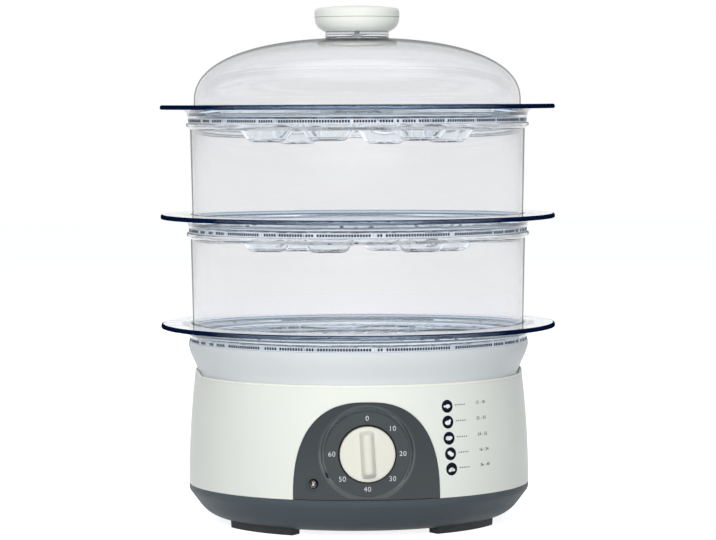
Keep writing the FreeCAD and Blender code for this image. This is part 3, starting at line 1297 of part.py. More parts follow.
# ---------------------------------------------------------------- drip tray
def drip_form(inset):
    """The drip tray's outer form as a filled solid, moved in by inset."""
    body, waist, rim = DRIP_BODY_RADIUS - inset, DRIP_WAIST_RADIUS - inset, DRIP_RIM_RADIUS - inset
    sweep = Part.BezierCurve()
    sweep.setPoles([
        vec(waist, 0, RIM_Z + inset),
        vec(waist, 0, RIM_Z + inset + DRIP_RISE * DRIP_WAIST_SHARE),
        vec(rim, 0, DRIP_TOP_Z - DRIP_RISE * DRIP_RIM_SHARE),
        vec(rim, 0, DRIP_TOP_Z),
    ])
    low = DRIP_FLOOR_Z + inset
    foot = [
        vec(waist, 0, RIM_Z + inset),
        vec(body, 0, RIM_Z + inset),
        vec(body, 0, low + DRIP_CHAMFER),
        vec(body - DRIP_CHAMFER, 0, low),
        vec(0, 0, low),
        vec(0, 0, DRIP_TOP_Z),
        vec(rim, 0, DRIP_TOP_Z),
    ]
    lines = [Part.LineSegment(foot[i], foot[i + 1]).toShape() for i in range(len(foot) - 1)]
    return turned(Part.Wire([sweep.toShape()] + lines))


def drip_tray():
    """Catches condensate; a chimney lets the steam through."""
    shell = drip_form(0).cut(drip_form(DRIP_WALL))
    rim = turned_outline([
        (DRIP_RIM_RADIUS - DRIP_RIM_WIDTH, DRIP_TOP_Z - DRIP_RIM_HEIGHT, EDGE_ROUND),
        (DRIP_RIM_RADIUS - DRIP_WALL / 2, DRIP_TOP_Z - DRIP_RIM_HEIGHT),
        (DRIP_RIM_RADIUS - DRIP_WALL / 2, DRIP_TOP_Z),
        (DRIP_RIM_RADIUS - DRIP_RIM_WIDTH, DRIP_TOP_Z, EDGE_ROUND),
    ])
    chimney = rod(CHIMNEY_RADIUS + DRIP_WALL, vec(0, 0, DRIP_FLOOR_Z), UP, CHIMNEY_TOP_Z - DRIP_FLOOR_Z)
    bore = rod(CHIMNEY_RADIUS, vec(0, 0, DRIP_FLOOR_Z), UP, CHIMNEY_TOP_Z - DRIP_FLOOR_Z)
    return joined(shell, rim, chimney).cut(bore)


# ---------------------------------------------------------------- steam trays and bowls
def steam_tray(number):
    """Clear flanged tray with a perforated floor and six egg cups."""
    top = TRAY_TOP_Z + TIER_PITCH * number
    floor_top = top - FLOOR_DEPTH
    floor_low = floor_top - FLOOR_WALL
    ledge_low = top - RECESS_DEPTH - FLOOR_WALL
    plate = turned_outline([
        (0, floor_top),
        (FLOOR_RADIUS, floor_top, EDGE_ROUND),
        (FLOOR_RADIUS, top - RECESS_DEPTH, EDGE_ROUND),
        (RECESS_RADIUS, top - RECESS_DEPTH, EDGE_ROUND),
        (RECESS_RADIUS, top, EDGE_ROUND),
        (FLANGE_RADIUS, top, FLANGE_EDGE_ROUND),
        (FLANGE_RADIUS, top - FLANGE_PLATE, EDGE_ROUND),
        (NECK_RADIUS, top - FLANGE_PLATE, NECK_ROUND),
        (NECK_RADIUS, top - RING_TOP),
        (RING_RADIUS, top - RING_TOP),
        (RING_RADIUS, top - SEAT_DEPTH),
        (RING_RADIUS - RING_WALL, top - SEAT_DEPTH),
        (RING_RADIUS - RING_WALL, ledge_low),
        (SKIRT_RADIUS, ledge_low),
        (SKIRT_RADIUS, top - SKIRT_DEPTH, EDGE_ROUND),
        (SKIRT_RADIUS - SKIRT_WALL, top - SKIRT_DEPTH, EDGE_ROUND),
        (SKIRT_RADIUS - SKIRT_WALL, floor_low),
        (0, floor_low),
    ])
    cup_low = top - EGG_CUP_DEPTH
    cup = egg_cup_form(cup_low, floor_low + FLOOR_WALL / 2, 0.0)
    hollow = egg_cup_form(cup_low + EGG_CUP_WALL, floor_top, EGG_CUP_SIDE - EGG_CUP_FLARE * EGG_CUP_WALL)
    drain = rod(EGG_CUP_DRAIN_RADIUS, vec(EGG_CUP_CIRCLE, 0, cup_low), UP, EGG_CUP_DEPTH)
    cuts = around(hollow, EGG_CUP_COUNT, EGG_CUP_TURN) + around(drain, EGG_CUP_COUNT, EGG_CUP_TURN)
    for radius, count in STEAM_HOLE_RINGS:
        hole = rod(STEAM_HOLE_RADIUS, vec(radius, 0, floor_low), UP, FLOOR_WALL)
        cuts += around(hole, count, EGG_CUP_TURN)
    return joined(plate, *around(cup, EGG_CUP_COUNT, EGG_CUP_TURN)).cut(cuts)


def egg_cup_form(low, high, inset):
    """A cup's outer form as a filled solid, its radius less by inset."""
    foot_radius = EGG_CUP_FOOT - inset
    cone = turned_outline([
        (0, low),
        (foot_radius, low, EGG_CUP_ROUND),
        (foot_radius + EGG_CUP_FLARE * (high - low), high),
        (0, high),
    ])
    cone.translate(vec(EGG_CUP_CIRCLE, 0, 0))
    return cone


def steam_bowl(number):
    """Clear open wall between two trays, with a bead round its top."""
    low = TRAY_TOP_Z + TIER_PITCH * number - RECESS_DEPTH
    high = low + BOWL_HEIGHT
    return turned_outline([
        (BOWL_FOOT_RADIUS - BOWL_WALL, low, BOWL_ROUND),
        (BOWL_FOOT_RADIUS, low, BOWL_ROUND),
        (BOWL_TOP_RADIUS, high - 2 * BOWL_BEAD_HEIGHT),
        (BOWL_BEAD_RADIUS, high - BOWL_BEAD_HEIGHT, BOWL_ROUND),
        (BOWL_BEAD_RADIUS, high, BOWL_ROUND),
        (BOWL_TOP_RADIUS - BOWL_WALL, high, BOWL_ROUND),
    ])


# ---------------------------------------------------------------- lid
def dome_form(inset):
    """The lid's outer form as a filled solid, moved in by inset."""
    radius, rise = LID_RADIUS - inset, LID_DOME_RISE - inset
    steps = 16
    points = []
    for i in range(steps + 1):
        angle = math.pi / 2 * i / steps
        out, up = math.cos(angle), math.sin(angle)
        if i == steps:
            out = 0.0
        points.append(vec(radius * out ** (2 / LID_DOME_POWER), 0,
                          DOME_FOOT_Z + rise * up ** (2 / LID_DOME_POWER)))
    curve = Part.BSplineCurve()
    curve.interpolate(points)
    foot, axis_foot = vec(radius, 0, LID_FOOT_Z), vec(0, 0, LID_FOOT_Z)
    return turned(Part.Wire([
        Part.LineSegment(foot, points[0]).toShape(),
        curve.toShape(),
        Part.LineSegment(points[-1], axis_foot).toShape(),
        Part.LineSegment(axis_foot, foot).toShape(),
    ]))


def lid_dome():
    """Clear dome whose raised neck carries the knob, with vents under the knob's edge."""
    plate_low = KNOB_FOOT_Z - LID_WALL
    inner = LID_NECK_RADIUS - LID_WALL
    neck_low = DOME_TOP_Z - LID_WALL
    neck = turned_outline([
        (0, plate_low),
        (inner, plate_low, LID_ROUND),
        (inner, neck_low),
        (LID_NECK_RADIUS, neck_low),
        (LID_NECK_RADIUS, KNOB_FOOT_Z, LID_ROUND),
        (0, KNOB_FOOT_Z),
    ])
    shell = dome_form(0).cut([dome_form(LID_WALL), rod(inner, ORIGIN, UP, BEYOND)])
    vent = rod(VENT_RADIUS, vec(VENT_CIRCLE, 0, 0), UP, BEYOND)
    hole = rod(LID_SCREW_RADIUS + SCREW_CLEARANCE, ORIGIN, UP, BEYOND)
    return joined(shell, neck).cut(around(vent, VENT_COUNT, VENT_TURN) + [hole])


def knob_lower():
    """Bowl-shaped lower half of the lid's knob, with a post for the screw."""
    low, high, wall = KNOB_FOOT_Z, KNOB_SPLIT_Z, KNOB_WALL
    belly = low + KNOB_LOWER_HEIGHT * KNOB_BELLY
    bowl = turned_outline([
        (0, low),
        (KNOB_FOOT_RADIUS, low, KNOB_FOOT_ROUND),
        (KNOB_RADIUS - KNOB_DRAFT, belly, KNOB_BELLY_ROUND),
        (KNOB_RADIUS, high),
        (KNOB_RADIUS - wall, high),
        (KNOB_RADIUS - wall, belly + KNOB_DRAFT, KNOB_BELLY_WALL_ROUND),
        (KNOB_FOOT_RADIUS - 2 * KNOB_DRAFT, low + wall, KNOB_DRAFT),
        (0, low + wall),
    ])
    post = rod(KNOB_POST_RADIUS, vec(0, 0, low), UP, KNOB_LOWER_HEIGHT)
    pilot = rod(LID_SCREW_RADIUS, vec(0, 0, low), UP, LID_SCREW_BITE)
    return joined(bowl, post).cut(pilot)


def knob_cap():
    """Gently crowned upper half, with a spigot that snaps into the lower half."""
    edge = KNOB_TOP_Z - KNOB_CROWN
    cap = turned_outline([
        (0, KNOB_TOP_Z),
        (KNOB_RADIUS * KNOB_CROWN_SHARE, KNOB_TOP_Z - KNOB_CROWN / 3, KNOB_CROWN_ROUND),
        (KNOB_RADIUS, edge, KNOB_EDGE_ROUND),
        (KNOB_RADIUS, KNOB_SPLIT_Z),
        (KNOB_RADIUS - KNOB_WALL, KNOB_SPLIT_Z),
        (KNOB_RADIUS - KNOB_WALL, edge - KNOB_WALL, KNOB_EDGE_ROUND - EDGE_ROUND),
        (0, edge - KNOB_WALL + KNOB_CROWN / 2),
    ])
    outer = KNOB_RADIUS - KNOB_WALL - KNOB_SPIGOT_GAP
    start = vec(0, 0, KNOB_SPLIT_Z - KNOB_SPIGOT)
    spigot = tube(outer, outer - KNOB_WALL / 2, start, UP, KNOB_SPIGOT)
    web = tube(KNOB_RADIUS - KNOB_WALL / 2, outer - KNOB_WALL / 2, vec(0, 0, KNOB_SPLIT_Z), UP,
               KNOB_WALL / 2)
    return joined(cap, spigot, web)


def lid_washer():
    """Soft washer between the lid and the screw's head."""
    low = KNOB_FOOT_Z - LID_WALL - WASHER_THICKNESS
    return tube(WASHER_RADIUS, LID_SCREW_RADIUS + SCREW_CLEARANCE, vec(0, 0, low), UP,
                WASHER_THICKNESS)


def lid_screw():
    """Screw from inside the lid up into the knob's post."""
    head_z = KNOB_FOOT_Z - LID_WALL - WASHER_THICKNESS
    head = rod(LID_SCREW_HEAD_RADIUS, vec(0, 0, head_z), DOWN, SCREW_HEAD_HEIGHT)
    shank = rod(LID_SCREW_RADIUS, vec(0, 0, head_z), UP, KNOB_FOOT_Z + LID_SCREW_BITE - head_z)
    drive = rod(LID_SCREW_RADIUS / 2, vec(0, 0, head_z - SCREW_HEAD_HEIGHT), UP, SCREW_HEAD_HEIGHT / 2)
    return joined(head, shank).cut(drive)


# ---------------------------------------------------------------- export
NODES = {
    "base_housing": base_housing,
    "water_tank": water_tank,
    "bottom_cover": bottom_cover,
    "cover_screws": cover_screws,
    "foot_front_left": lambda: foot(270.0 - FOOT_BEARING),
    "foot_front_right": lambda: foot(270.0 + FOOT_BEARING),
    "foot_rear_left": lambda: foot(90.0 + FOOT_BEARING),
    "foot_rear_right": lambda: foot(90.0 - FOOT_BEARING),
    "cord_gland": cord_gland,
    "cord_clamp": cord_clamp,
    "cord_clamp_screws": cord_clamp_screws,
    "terminal_block": terminal_block,
    "terminal_block_screw": terminal_block_screw,
    "heating_plate": heating_plate,
    "heater_gasket": heater_gasket,
    "heater_clamp": heater_clamp,
    "heater_screws": heater_screws,
    "heating_element": heating_element,
    "thermostat": thermostat,
    "thermostat_strap": thermostat_strap,
    "thermal_fuse": thermal_fuse,
    "control_panel": control_panel,
    "indicator_lens": indicator_lens,
    "lamp_holder": lamp_holder,
    "neon_lamp": neon_lamp,
    "timer_bracket": timer_bracket,
    "bracket_screws": bracket_screws,
    "timer_case": timer_case,
    "timer_screws": timer_screws,
    "timer_shaft": timer_shaft,
    "timer_main_wheel": timer_main_wheel,
    "timer_pinion": timer_pinion,
    "timer_escape_wheel": timer_escape_wheel,
    "spring_barrel": spring_barrel,
    "timer_cam": timer_cam,
    "contact_blades": contact_blades,
    "contact_block": contact_block,
    "timer_bell": timer_bell,
    "timer_knob": timer_knob,
    "knob_clip": knob_clip,
    "lead_live": lead_live,
    "lead_switched": lead_switched,
    "lead_heater": lead_heater,
    "lead_neutral": lead_neutral,
    "lead_lamp": lead_lamp,
    "steam_ring": steam_ring,
    "drip_tray": drip_tray,
    "tray_bottom": lambda: steam_tray(0),
    "bowl_lower": lambda: steam_bowl(0),
    "tray_middle": lambda: steam_tray(1),
    "bowl_upper": lambda: steam_bowl(1),
    "tray_top": lambda: steam_tray(2),
    "lid_dome": lid_dome,
    "lid_knob_lower": knob_lower,
    "lid_knob_cap": knob_cap,
    "lid_screw": lid_screw,
    "lid_washer": lid_washer,
}


def main():
    os.makedirs("parts", exist_ok=True)
    for name, build in NODES.items():
        shape = build()
        shape.exportStep(os.path.join("parts", name + ".step"))
        print(name, len(shape.Solids), "solids", round(shape.Volume / 1000, 2), "cm3", shape.isValid())


main()
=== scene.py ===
import bmesh
import bpy
import json
import math
from mathutils import Matrix, Vector, noise


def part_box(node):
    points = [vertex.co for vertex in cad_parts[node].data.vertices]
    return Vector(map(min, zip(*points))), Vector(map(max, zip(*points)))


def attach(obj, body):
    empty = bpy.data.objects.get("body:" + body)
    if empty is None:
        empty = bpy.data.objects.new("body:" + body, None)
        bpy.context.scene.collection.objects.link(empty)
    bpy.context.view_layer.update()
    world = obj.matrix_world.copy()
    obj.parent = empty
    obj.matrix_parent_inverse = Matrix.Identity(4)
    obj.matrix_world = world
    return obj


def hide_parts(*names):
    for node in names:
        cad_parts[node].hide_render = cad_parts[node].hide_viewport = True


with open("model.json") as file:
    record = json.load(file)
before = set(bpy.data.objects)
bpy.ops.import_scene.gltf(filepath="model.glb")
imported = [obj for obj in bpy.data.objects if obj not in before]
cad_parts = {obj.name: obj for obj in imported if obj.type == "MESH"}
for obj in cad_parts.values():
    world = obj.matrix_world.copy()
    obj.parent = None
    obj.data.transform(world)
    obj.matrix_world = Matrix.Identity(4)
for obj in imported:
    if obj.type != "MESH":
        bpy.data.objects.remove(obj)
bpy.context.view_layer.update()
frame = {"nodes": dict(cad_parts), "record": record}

scene = bpy.context.scene
scene.view_settings.view_transform = "Standard"


# Camera: a long lens 2.5 m in front of the steamer and a little above its middle. It looks
# slightly down, so that the top of each lower flange just shows.
CAMERA_LENS = 162.0
CAMERA_DISTANCE = 2.454
CAMERA_HEIGHT = 0.3220
CAMERA_SWING = math.radians(-2.7)
CAMERA_TILT = math.radians(3.07)
CAMERA_ROLL = math.radians(-0.25)
camera_data = bpy.data.cameras.new("camera")
camera_data.lens = CAMERA_LENS
camera_data.sensor_width = 36.0
camera = bpy.data.objects.new("camera", camera_data)
scene.collection.objects.link(camera)
camera.matrix_world = (Matrix.Translation((CAMERA_DISTANCE * math.sin(CAMERA_SWING),
                                           -CAMERA_DISTANCE * math.cos(CAMERA_SWING),
                                           CAMERA_HEIGHT))
                       @ Matrix.Rotation(CAMERA_SWING, 4, "Z")
                       @ Matrix.Rotation(math.radians(90.0) - CAMERA_TILT, 4, "X")
                       @ Matrix.Rotation(CAMERA_ROLL, 4, "Z"))
scene.camera = camera


# Surroundings: a white studio. The background is plain white, also where it is mirrored or
# looked through; above it the room is dimmer up to a bright ceiling. The daylight that fills
# in the shadows is cool and kept low, so that a colour renders about as it is written.
AMBIENCE = 0.22
ROOM = ((0.13, 1.0), (0.4, 0.78), (0.8, 0.84), (0.93, 1.7))
PAPER_GLOW = 0.88
FLOOR_HALF = 6.0


def colour(text):
    """A colour written in sRGB hex as the linear values that sockets hold."""
    parts = [int(text[i:i + 2], 16) / 255 for i in (1, 3, 5)]
    return [c / 12.92 if c <= 0.04045 else ((c + 0.055) / 1.055) ** 2.4 for c in parts] + [1.0]


def add(tree, kind, inputs=None, **settings):
    """A node of that kind: settings go to the node, inputs to its sockets, linked or set."""
    node = tree.nodes.new(kind)
    for name, value in settings.items():
        setattr(node, name, value)
    for name, value in (inputs or {}).items():
        socket = node.inputs[name]
        if isinstance(value, bpy.types.NodeSocket):
            tree.links.new(value, socket)
        else:
            socket.default_value = value
    return node


def ramp(tree, value, stops):
    """A value that follows the stops, given as (place, level)."""
    node = add(tree, "ShaderNodeValToRGB", {"Fac": value})
    points = node.color_ramp.elements
    while len(points) < len(stops):
        points.new(1.0)
    for point, (place, level) in zip(points, stops):
        point.position = place
        point.color = (level, level, level, 1.0)
    return node.outputs["Color"]


world = bpy.data.worlds.new("white studio")
scene.world = world
world.use_nodes = True
tree = world.node_tree
tree.nodes.clear()
path = add(tree, "ShaderNodeLightPath").outputs
mirrored = add(tree, "ShaderNodeMath", {0: path["Is Glossy Ray"], 1: path["Is Transmission Ray"]},
               operation="MAXIMUM").outputs[0]
shown = add(tree, "ShaderNodeMath", {0: mirrored, 1: path["Is Camera Ray"]}, operation="MAXIMUM").outputs[0]
direction = add(tree, "ShaderNodeTexCoord").outputs["Generated"]
height = add(tree, "ShaderNodeSeparateXYZ", {0: direction}).outputs["Z"]
strength = add(tree, "ShaderNodeMix", {"Factor": mirrored, "A": AMBIENCE, "B": ramp(tree, height, ROOM)})
strength = add(tree, "ShaderNodeMix", {"Factor": path["Is Camera Ray"], "A": strength.outputs[0], "B": 1.0})
cast = add(tree, "ShaderNodeMix", {"Factor": shown, "A": colour("#d3e2f2"), "B": colour("#ffffff")},
           data_type="RGBA")
backdrop = add(tree, "ShaderNodeBackground", {"Color": cast.outputs["Result"],
                                              "Strength": strength.outputs[0]})
add(tree, "ShaderNodeOutputWorld", {"Surface": backdrop.outputs[0]})


def lamp(name, place, target, size, power):
    """A soft rectangular lamp, aimed at a place on the steamer, that no surface mirrors."""
    data = bpy.data.lights.new(name, "AREA")
    data.shape = "RECTANGLE"
    data.size, data.size_y = size
    data.energy = power
    light = bpy.data.objects.new(name, data)
    scene.collection.objects.link(light)
    aim = Vector(target) - Vector(place)
    light.visible_glossy = False
    light.visible_transmission = False
    light.matrix_world = Matrix.Translation(place) @ aim.to_track_quat("-Z", "Y").to_matrix().to_4x4()


lamp("softbox_front_left", (-0.5, -1.85, 0.95), (0, 0, 0.15), (0.7, 0.9), 22.0)
lamp("softbox_front_right", (0.4, -1.85, 0.65), (0, 0, 0.12), (0.5, 0.8), 8.4)
lamp("softbox_above", (0.0, 0.1, 1.6), (0, 0, 0.2), (1.4, 1.4), 8.4)
lamp("softbox_behind", (-0.5, 1.85, 0.9), (0, 0, 0.2), (0.8, 0.9), 9.0)


def bare_material(name):
    """A new material and its node tree, with no node in it."""
    material = bpy.data.materials.new(name)
    material.use_nodes = True
    material.node_tree.nodes.clear()
    return material, material.node_tree


floor_mesh = bpy.data.meshes.new("floor")
bm = bmesh.new()
bmesh.ops.create_grid(bm, x_segments=1, y_segments=1, size=FLOOR_HALF)
bm.to_mesh(floor_mesh)
bm.free()
floor = bpy.data.objects.new("floor", floor_mesh)
scene.collection.objects.link(floor)
paper, tree = bare_material("white background paper")
path = add(tree, "ShaderNodeLightPath").outputs
seen = add(tree, "ShaderNodeMath", {0: path["Is Camera Ray"], 1: path["Is Glossy Ray"]}, operation="MAXIMUM")
seen = add(tree, "ShaderNodeMath", {0: seen.outputs[0], 1: path["Is Transmission Ray"]}, operation="MAXIMUM")
glow = add(tree, "ShaderNodeMath", {0: seen.outputs[0], 1: PAPER_GLOW}, operation="MULTIPLY")
lit = add(tree, "ShaderNodeBsdfDiffuse", {"Color": colour("#dcdcdc")})
lift = add(tree, "ShaderNodeEmission", {"Color": colour("#ffffff"), "Strength": glow.outputs[0]})
both = add(tree, "ShaderNodeAddShader", {0: lit.outputs[0], 1: lift.outputs[0]})
add(tree, "ShaderNodeOutputMaterial", {"Surface": both.outputs[0]})
floor_mesh.materials.append(paper)


# Base housing: one injection-moulded shell of warm white polypropylene. Its satin skin is
# faintly uneven from the mould, which keeps the wide white side from looking flat.
MM = 0.001
DRIFT_PER_METRE = 22.0
WEAR = 0.12


def grained(name, tint, shade, roughness, grain_mm, depth_mm, **more):
    """A moulded plastic: a faint drift between two tints, and the fine grain of its mould."""
    material, tree = bare_material(name)
    place = add(tree, "ShaderNodeTexCoord").outputs["Object"]
    drift = add(tree, "ShaderNodeTexNoise", {"Vector": place, "Scale": DRIFT_PER_METRE, "Detail": 2.0})
    tints = add(tree, "ShaderNodeMix", {"Factor": drift.outputs["Fac"], "A": colour(tint),
                                        "B": colour(shade)}, data_type="RGBA")
    grain = add(tree, "ShaderNodeTexNoise", {"Vector": place, "Scale": 1 / (grain_mm * MM), "Detail": 2.0})
    wear = add(tree, "ShaderNodeMapRange", {"Value": drift.outputs["Fac"], "From Min": 0.3, "From Max": 0.7,
                                            "To Min": roughness * (1 - WEAR),
                                            "To Max": roughness * (1 + WEAR)})
    bump = add(tree, "ShaderNodeBump", {"Height": grain.outputs["Fac"], "Strength": 1.0,
                                        "Distance": depth_mm * MM})
    skin = add(tree, "ShaderNodeBsdfPrincipled", {"Base Color": tints.outputs["Result"],
                                                  "Roughness": wear.outputs[0],
                                                  "Normal": bump.outputs[0], **more})
    add(tree, "ShaderNodeOutputMaterial", {"Surface": skin.outputs[0]})
    return material


def dress(node, material):
    """Gives a part of the frame its finish."""
    for place in frame["nodes"][node].material_slots:
        place.material = material


white_satin = grained("warm white polypropylene, satin", "#eceee5", "#e8eae2", 0.42, 0.9, 0.012)
dress("base_housing", white_satin)


# Rim highlight: a thin strip of brighter white round the housing's top edge, painted highlight
# where light catches the rounded rim. It runs along the front and the back, between the two
# raised side lips.
def finished(name, bm, body, *materials, sharp=35.0):
    """Puts the mesh into the scene as a piece that moves with a body."""
    mesh = bpy.data.meshes.new(name)
    bm.to_mesh(mesh)
    bm.free()
    for material in materials:
        mesh.materials.append(material)
    mesh.shade_smooth()
    mesh.set_sharp_from_angle(angle=math.radians(sharp))
    piece = bpy.data.objects.new(name, mesh)
    scene.collection.objects.link(piece)
    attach(piece, body)
    return piece


RIM_RADIUS, RIM_LEVEL, RIM_HALF = 124.6, 112.8, 72.0
RIM_LINE = ((0.16, -1.1), (0.14, -0.45), (-0.2, 0.0), (-0.8, 0.08))
# A brighter white than the housing's own, painted on as the highlight along the rim.
rim_highlight_white = grained("warm white polypropylene, bright edge", "#fbfbee", "#f8f8ea", 0.3, 0.9, 0.01)
bead = bmesh.new()
for middle in (-90.0, 90.0):
    start = Matrix.Rotation(math.radians(middle - RIM_HALF), 4, "Z")
    corners = [bead.verts.new(start @ Vector(((RIM_RADIUS + out) * MM, 0, (RIM_LEVEL + up) * MM)))
               for out, up in RIM_LINE]
    edges = [bead.edges.new(pair) for pair in zip(corners, corners[1:])]
    bmesh.ops.spin(bead, geom=corners + edges, cent=(0, 0, 0), axis=(0, 0, 1), dvec=(0, 0, 0),
                   angle=math.radians(2 * RIM_HALF), steps=120, use_duplicate=False)
bmesh.ops.recalc_face_normals(bead, faces=bead.faces)
if sum(f.normal.dot(f.calc_center_median()) * f.calc_area() for f in bead.faces) < 0:
    bmesh.ops.reverse_faces(bead, faces=bead.faces)
finished("housing_rim", bead, "base", rim_highlight_white, sharp=80.0)


# Printed guide: five dark discs with pale signs of food, pad printed on the curved side to the
# right of the panel. Each has a dotted line and a range of minutes in the same ink.
def gather(target, source):
    """Adds one bmesh to another."""
    mesh = bpy.data.meshes.new("passing")
    source.to_mesh(mesh)
    source.free()
    target.from_mesh(mesh)
    bpy.data.meshes.remove(mesh)


CAP_SHARE = 1.37


def lettering(text, height, thinner):
    """The text as a flat mesh in the XY plane with its middle at the origin; sizes in mm."""
    font = bpy.data.curves.new(text, "FONT")
    font.body = text
    font.size = height * CAP_SHARE * MM
    font.offset = -thinner * MM
    font.align_x = "CENTER"
    font.align_y = "CENTER"
    font.space_character = 1.1
    holder = bpy.data.objects.new(text, font)
    scene.collection.objects.link(holder)
    bpy.context.view_layer.update()
    mesh = bpy.data.meshes.new_from_object(holder)
    bm = bmesh.new()
    bm.from_mesh(mesh)
    bpy.data.objects.remove(holder)
    bpy.data.meshes.remove(mesh)
    bpy.data.curves.remove(font)
    return bm


def oval(bm, across, up, half_width, half_height, lean=0.0, corners=24):
    """A filled oval, or a polygon of few corners, in the XY plane, in mm."""
    bmesh.ops.create_circle(bm, cap_ends=True, cap_tris=True, segments=corners, radius=MM,
                            matrix=(Matrix.Translation((across * MM, up * MM, 0))
                                    @ Matrix.Rotation(math.radians(lean), 4, "Z")
                                    @ Matrix.Diagonal((half_width, half_height, 1, 1))))


housing = frame["nodes"]["base_housing"]
SIDE_RADIUS = 0.1275
# A ray starts this far out, in metres, and finds the housing's side.
OUTSIDE = 0.3
DISC_RADIUS, DOT_RADIUS = 4.75, 0.5
DOTS, FIRST_DOT, DOT_STEP, DOTS_UP = 5, 3.4, 0.9, 0.6
MINUTES_HEIGHT, MINUTES_BOLDER, MINUTES_TURN, MINUTES_UP = 2.3, 0.04, 14.4, 1.1
navy_ink = grained("dark navy printing ink, dull", "#080b16", "#070a14", 0.6, 0.5, 0.002,
                   **{"Specular IOR Level": 0.1})
pale_ink = grained("pale printing ink, dull", "#f2f4f8", "#eceef3", 0.5, 0.5, 0.002)
GUIDE = ((28.1, 96.2, "12 - 18"), (28.1, 84.7, "25 - 35"), (28.3, 72.9, "24 - 32"),
         (28.7, 61.5, "16 - 24"), (29.0, 50.3, "36 - 48"))
GUIDE_SIGNS = (
    ((0.5, 0, 2.1, 1.4, 0, 24), (-2.2, 0, 1.3, 1.2, 180, 3), (0.3, -1.3, 0.7, 0.9, 90, 3)),
    ((-0.2, -0.5, 2.4, 1.6, 0, 24), (1.6, 0.9, 1.0, 1.0, 0, 16), (2.6, 0.9, 0.5, 0.4, 0, 3)),
    ((0, 0, 2.9, 1.5, 8, 24), (-1.6, 0.2, 1.2, 1.3, 0, 16)),
    ((-0.8, 0.6, 1.7, 1.5, 0, 24), (0.9, -0.6, 1.8, 1.5, 0, 24)),
    ((-0.6, -0.5, 2.2, 1.3, 30, 24), (1.1, -0.6, 1.8, 1.1, -12, 24)),
)
marks, signs = [], []
MARKS_FILM, SIGNS_FILM = 0.06, 0.1
for (bearing, height, text), shapes in zip(GUIDE, GUIDE_SIGNS):
    disc = bmesh.new()
    oval(disc, 0, 0, DISC_RADIUS, DISC_RADIUS, corners=48)
    marks.append((disc, bearing, height))
    sign = bmesh.new()
    for shape in shapes:
        oval(sign, *shape)
    signs.append((sign, bearing, height))
    for i in range(DOTS):
        dot = bmesh.new()
        oval(dot, 0, 0, DOT_RADIUS, DOT_RADIUS, corners=12)
        marks.append((dot, bearing + FIRST_DOT + DOT_STEP * i, height + DOTS_UP))
    marks.append((lettering(text, MINUTES_HEIGHT, -MINUTES_BOLDER), bearing + MINUTES_TURN,
                  height + MINUTES_UP))
guide_discs, guide_signs = bmesh.new(), bmesh.new()
for found, target, ink_mm in ((marks, guide_discs, MARKS_FILM), (signs, guide_signs, SIGNS_FILM)):
    for bm, bearing, height in found:
        for vert in bm.verts:
            turn = math.radians(bearing) + vert.co.x / SIDE_RADIUS
            level = height * MM + vert.co.y
            ray = Vector((math.sin(turn), -math.cos(turn), 0))
            spot = housing.ray_cast(ray * OUTSIDE + Vector((0, 0, level)), -ray)[1]
            vert.co = ray * (spot.xy.length + ink_mm * MM) + Vector((0, 0, level))
        gather(target, bm)
finished("guide_marks", guide_discs, "base", navy_ink)
finished("guide_signs", guide_signs, "base", pale_ink)


# Bottom cover and feet: the cover is moulded in dark slate polypropylene and screwed on from
# below. Its satin skin stays even and dark, and the feet are dull black rubber pads.
slate_gloss = grained("slate polypropylene, glossy", "#2a3236", "#272f33", 0.22, 1.4, 0.006)
slate_satin = grained("slate polypropylene, satin", "#50585d", "#4c5459", 0.5, 1.4, 0.01,
                      **{"Specular IOR Level": 0.12})
dress("bottom_cover", slate_satin)
rubber = grained("black rubber, dull", "#2b2d2f", "#242628", 0.75, 0.5, 0.03)
for foot in ("foot_front_left", "foot_front_right", "foot_rear_left", "foot_rear_right", "cord_gland"):
    dress(foot, rubber)


# Control panel: a glossy slate arch clipped into the housing. The raised dial flows down into
# the arch with a soft polished skirt, which catches the light above and below the dial. The thin
# black ring in the pocket that the knob turns in is painted shade, where the gap lies dark.
panel = frame["nodes"]["control_panel"]
dress("control_panel", slate_gloss)
DIAL_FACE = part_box("control_panel")[0].y
DIAL_Z = sum(v.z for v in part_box("timer_knob")) / 2
SKIRT_INNER, SKIRT_OUTER, SKIRT_ROWS, SKIRT_CUTS = 30.2, 35.6, 8, 144
SKIRT_LIFT, SKIRT_OVERLAP = 0.1 * MM, 0.08 * MM
SKIRT_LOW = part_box("control_panel")[0].z + 1.0 * MM
# A ray starts this far in front, in metres, and finds the face of the arch.
IN_FRONT = -0.2
slate_polished = grained("slate polypropylene, polished", "#2c3439", "#293136", 0.16, 1.4, 0.006,
                         **{"Coat Weight": 0.7, "Coat Roughness": 0.1})
skirt = bmesh.new()
rows = []
for i in range(SKIRT_ROWS + 1):
    row = []
    for k in range(SKIRT_CUTS):
        turn = math.tau * k / SKIRT_CUTS
        x, z = math.sin(turn), math.cos(turn)
        edge = SKIRT_OUTER * MM
        if z < 0:
            edge = min(edge, (DIAL_Z - SKIRT_LOW) / -z)
        share = i / SKIRT_ROWS
        reach = SKIRT_INNER * MM + (edge - SKIRT_INNER * MM) * share
        spot = panel.ray_cast((x * edge, IN_FRONT, DIAL_Z + z * edge), (0, 1, 0))[1]
        fall = share ** 2 * (3 - 2 * share)
        y = DIAL_FACE + SKIRT_LIFT + (spot.y - SKIRT_OVERLAP - DIAL_FACE) * fall
        row.append(skirt.verts.new((x * reach, y, DIAL_Z + z * reach)))
    rows.append([skirt.edges.new((row[k - 1], row[k])) for k in range(SKIRT_CUTS)])
for near, far in zip(rows, rows[1:]):
    bmesh.ops.bridge_loops(skirt, edges=near + far)
bmesh.ops.recalc_face_normals(skirt, faces=skirt.faces)
if sum(f.normal.y * f.calc_area() for f in skirt.faces) > 0:
    bmesh.ops.reverse_faces(skirt, faces=skirt.faces)
finished("dial_skirt", skirt, "base", slate_polished)

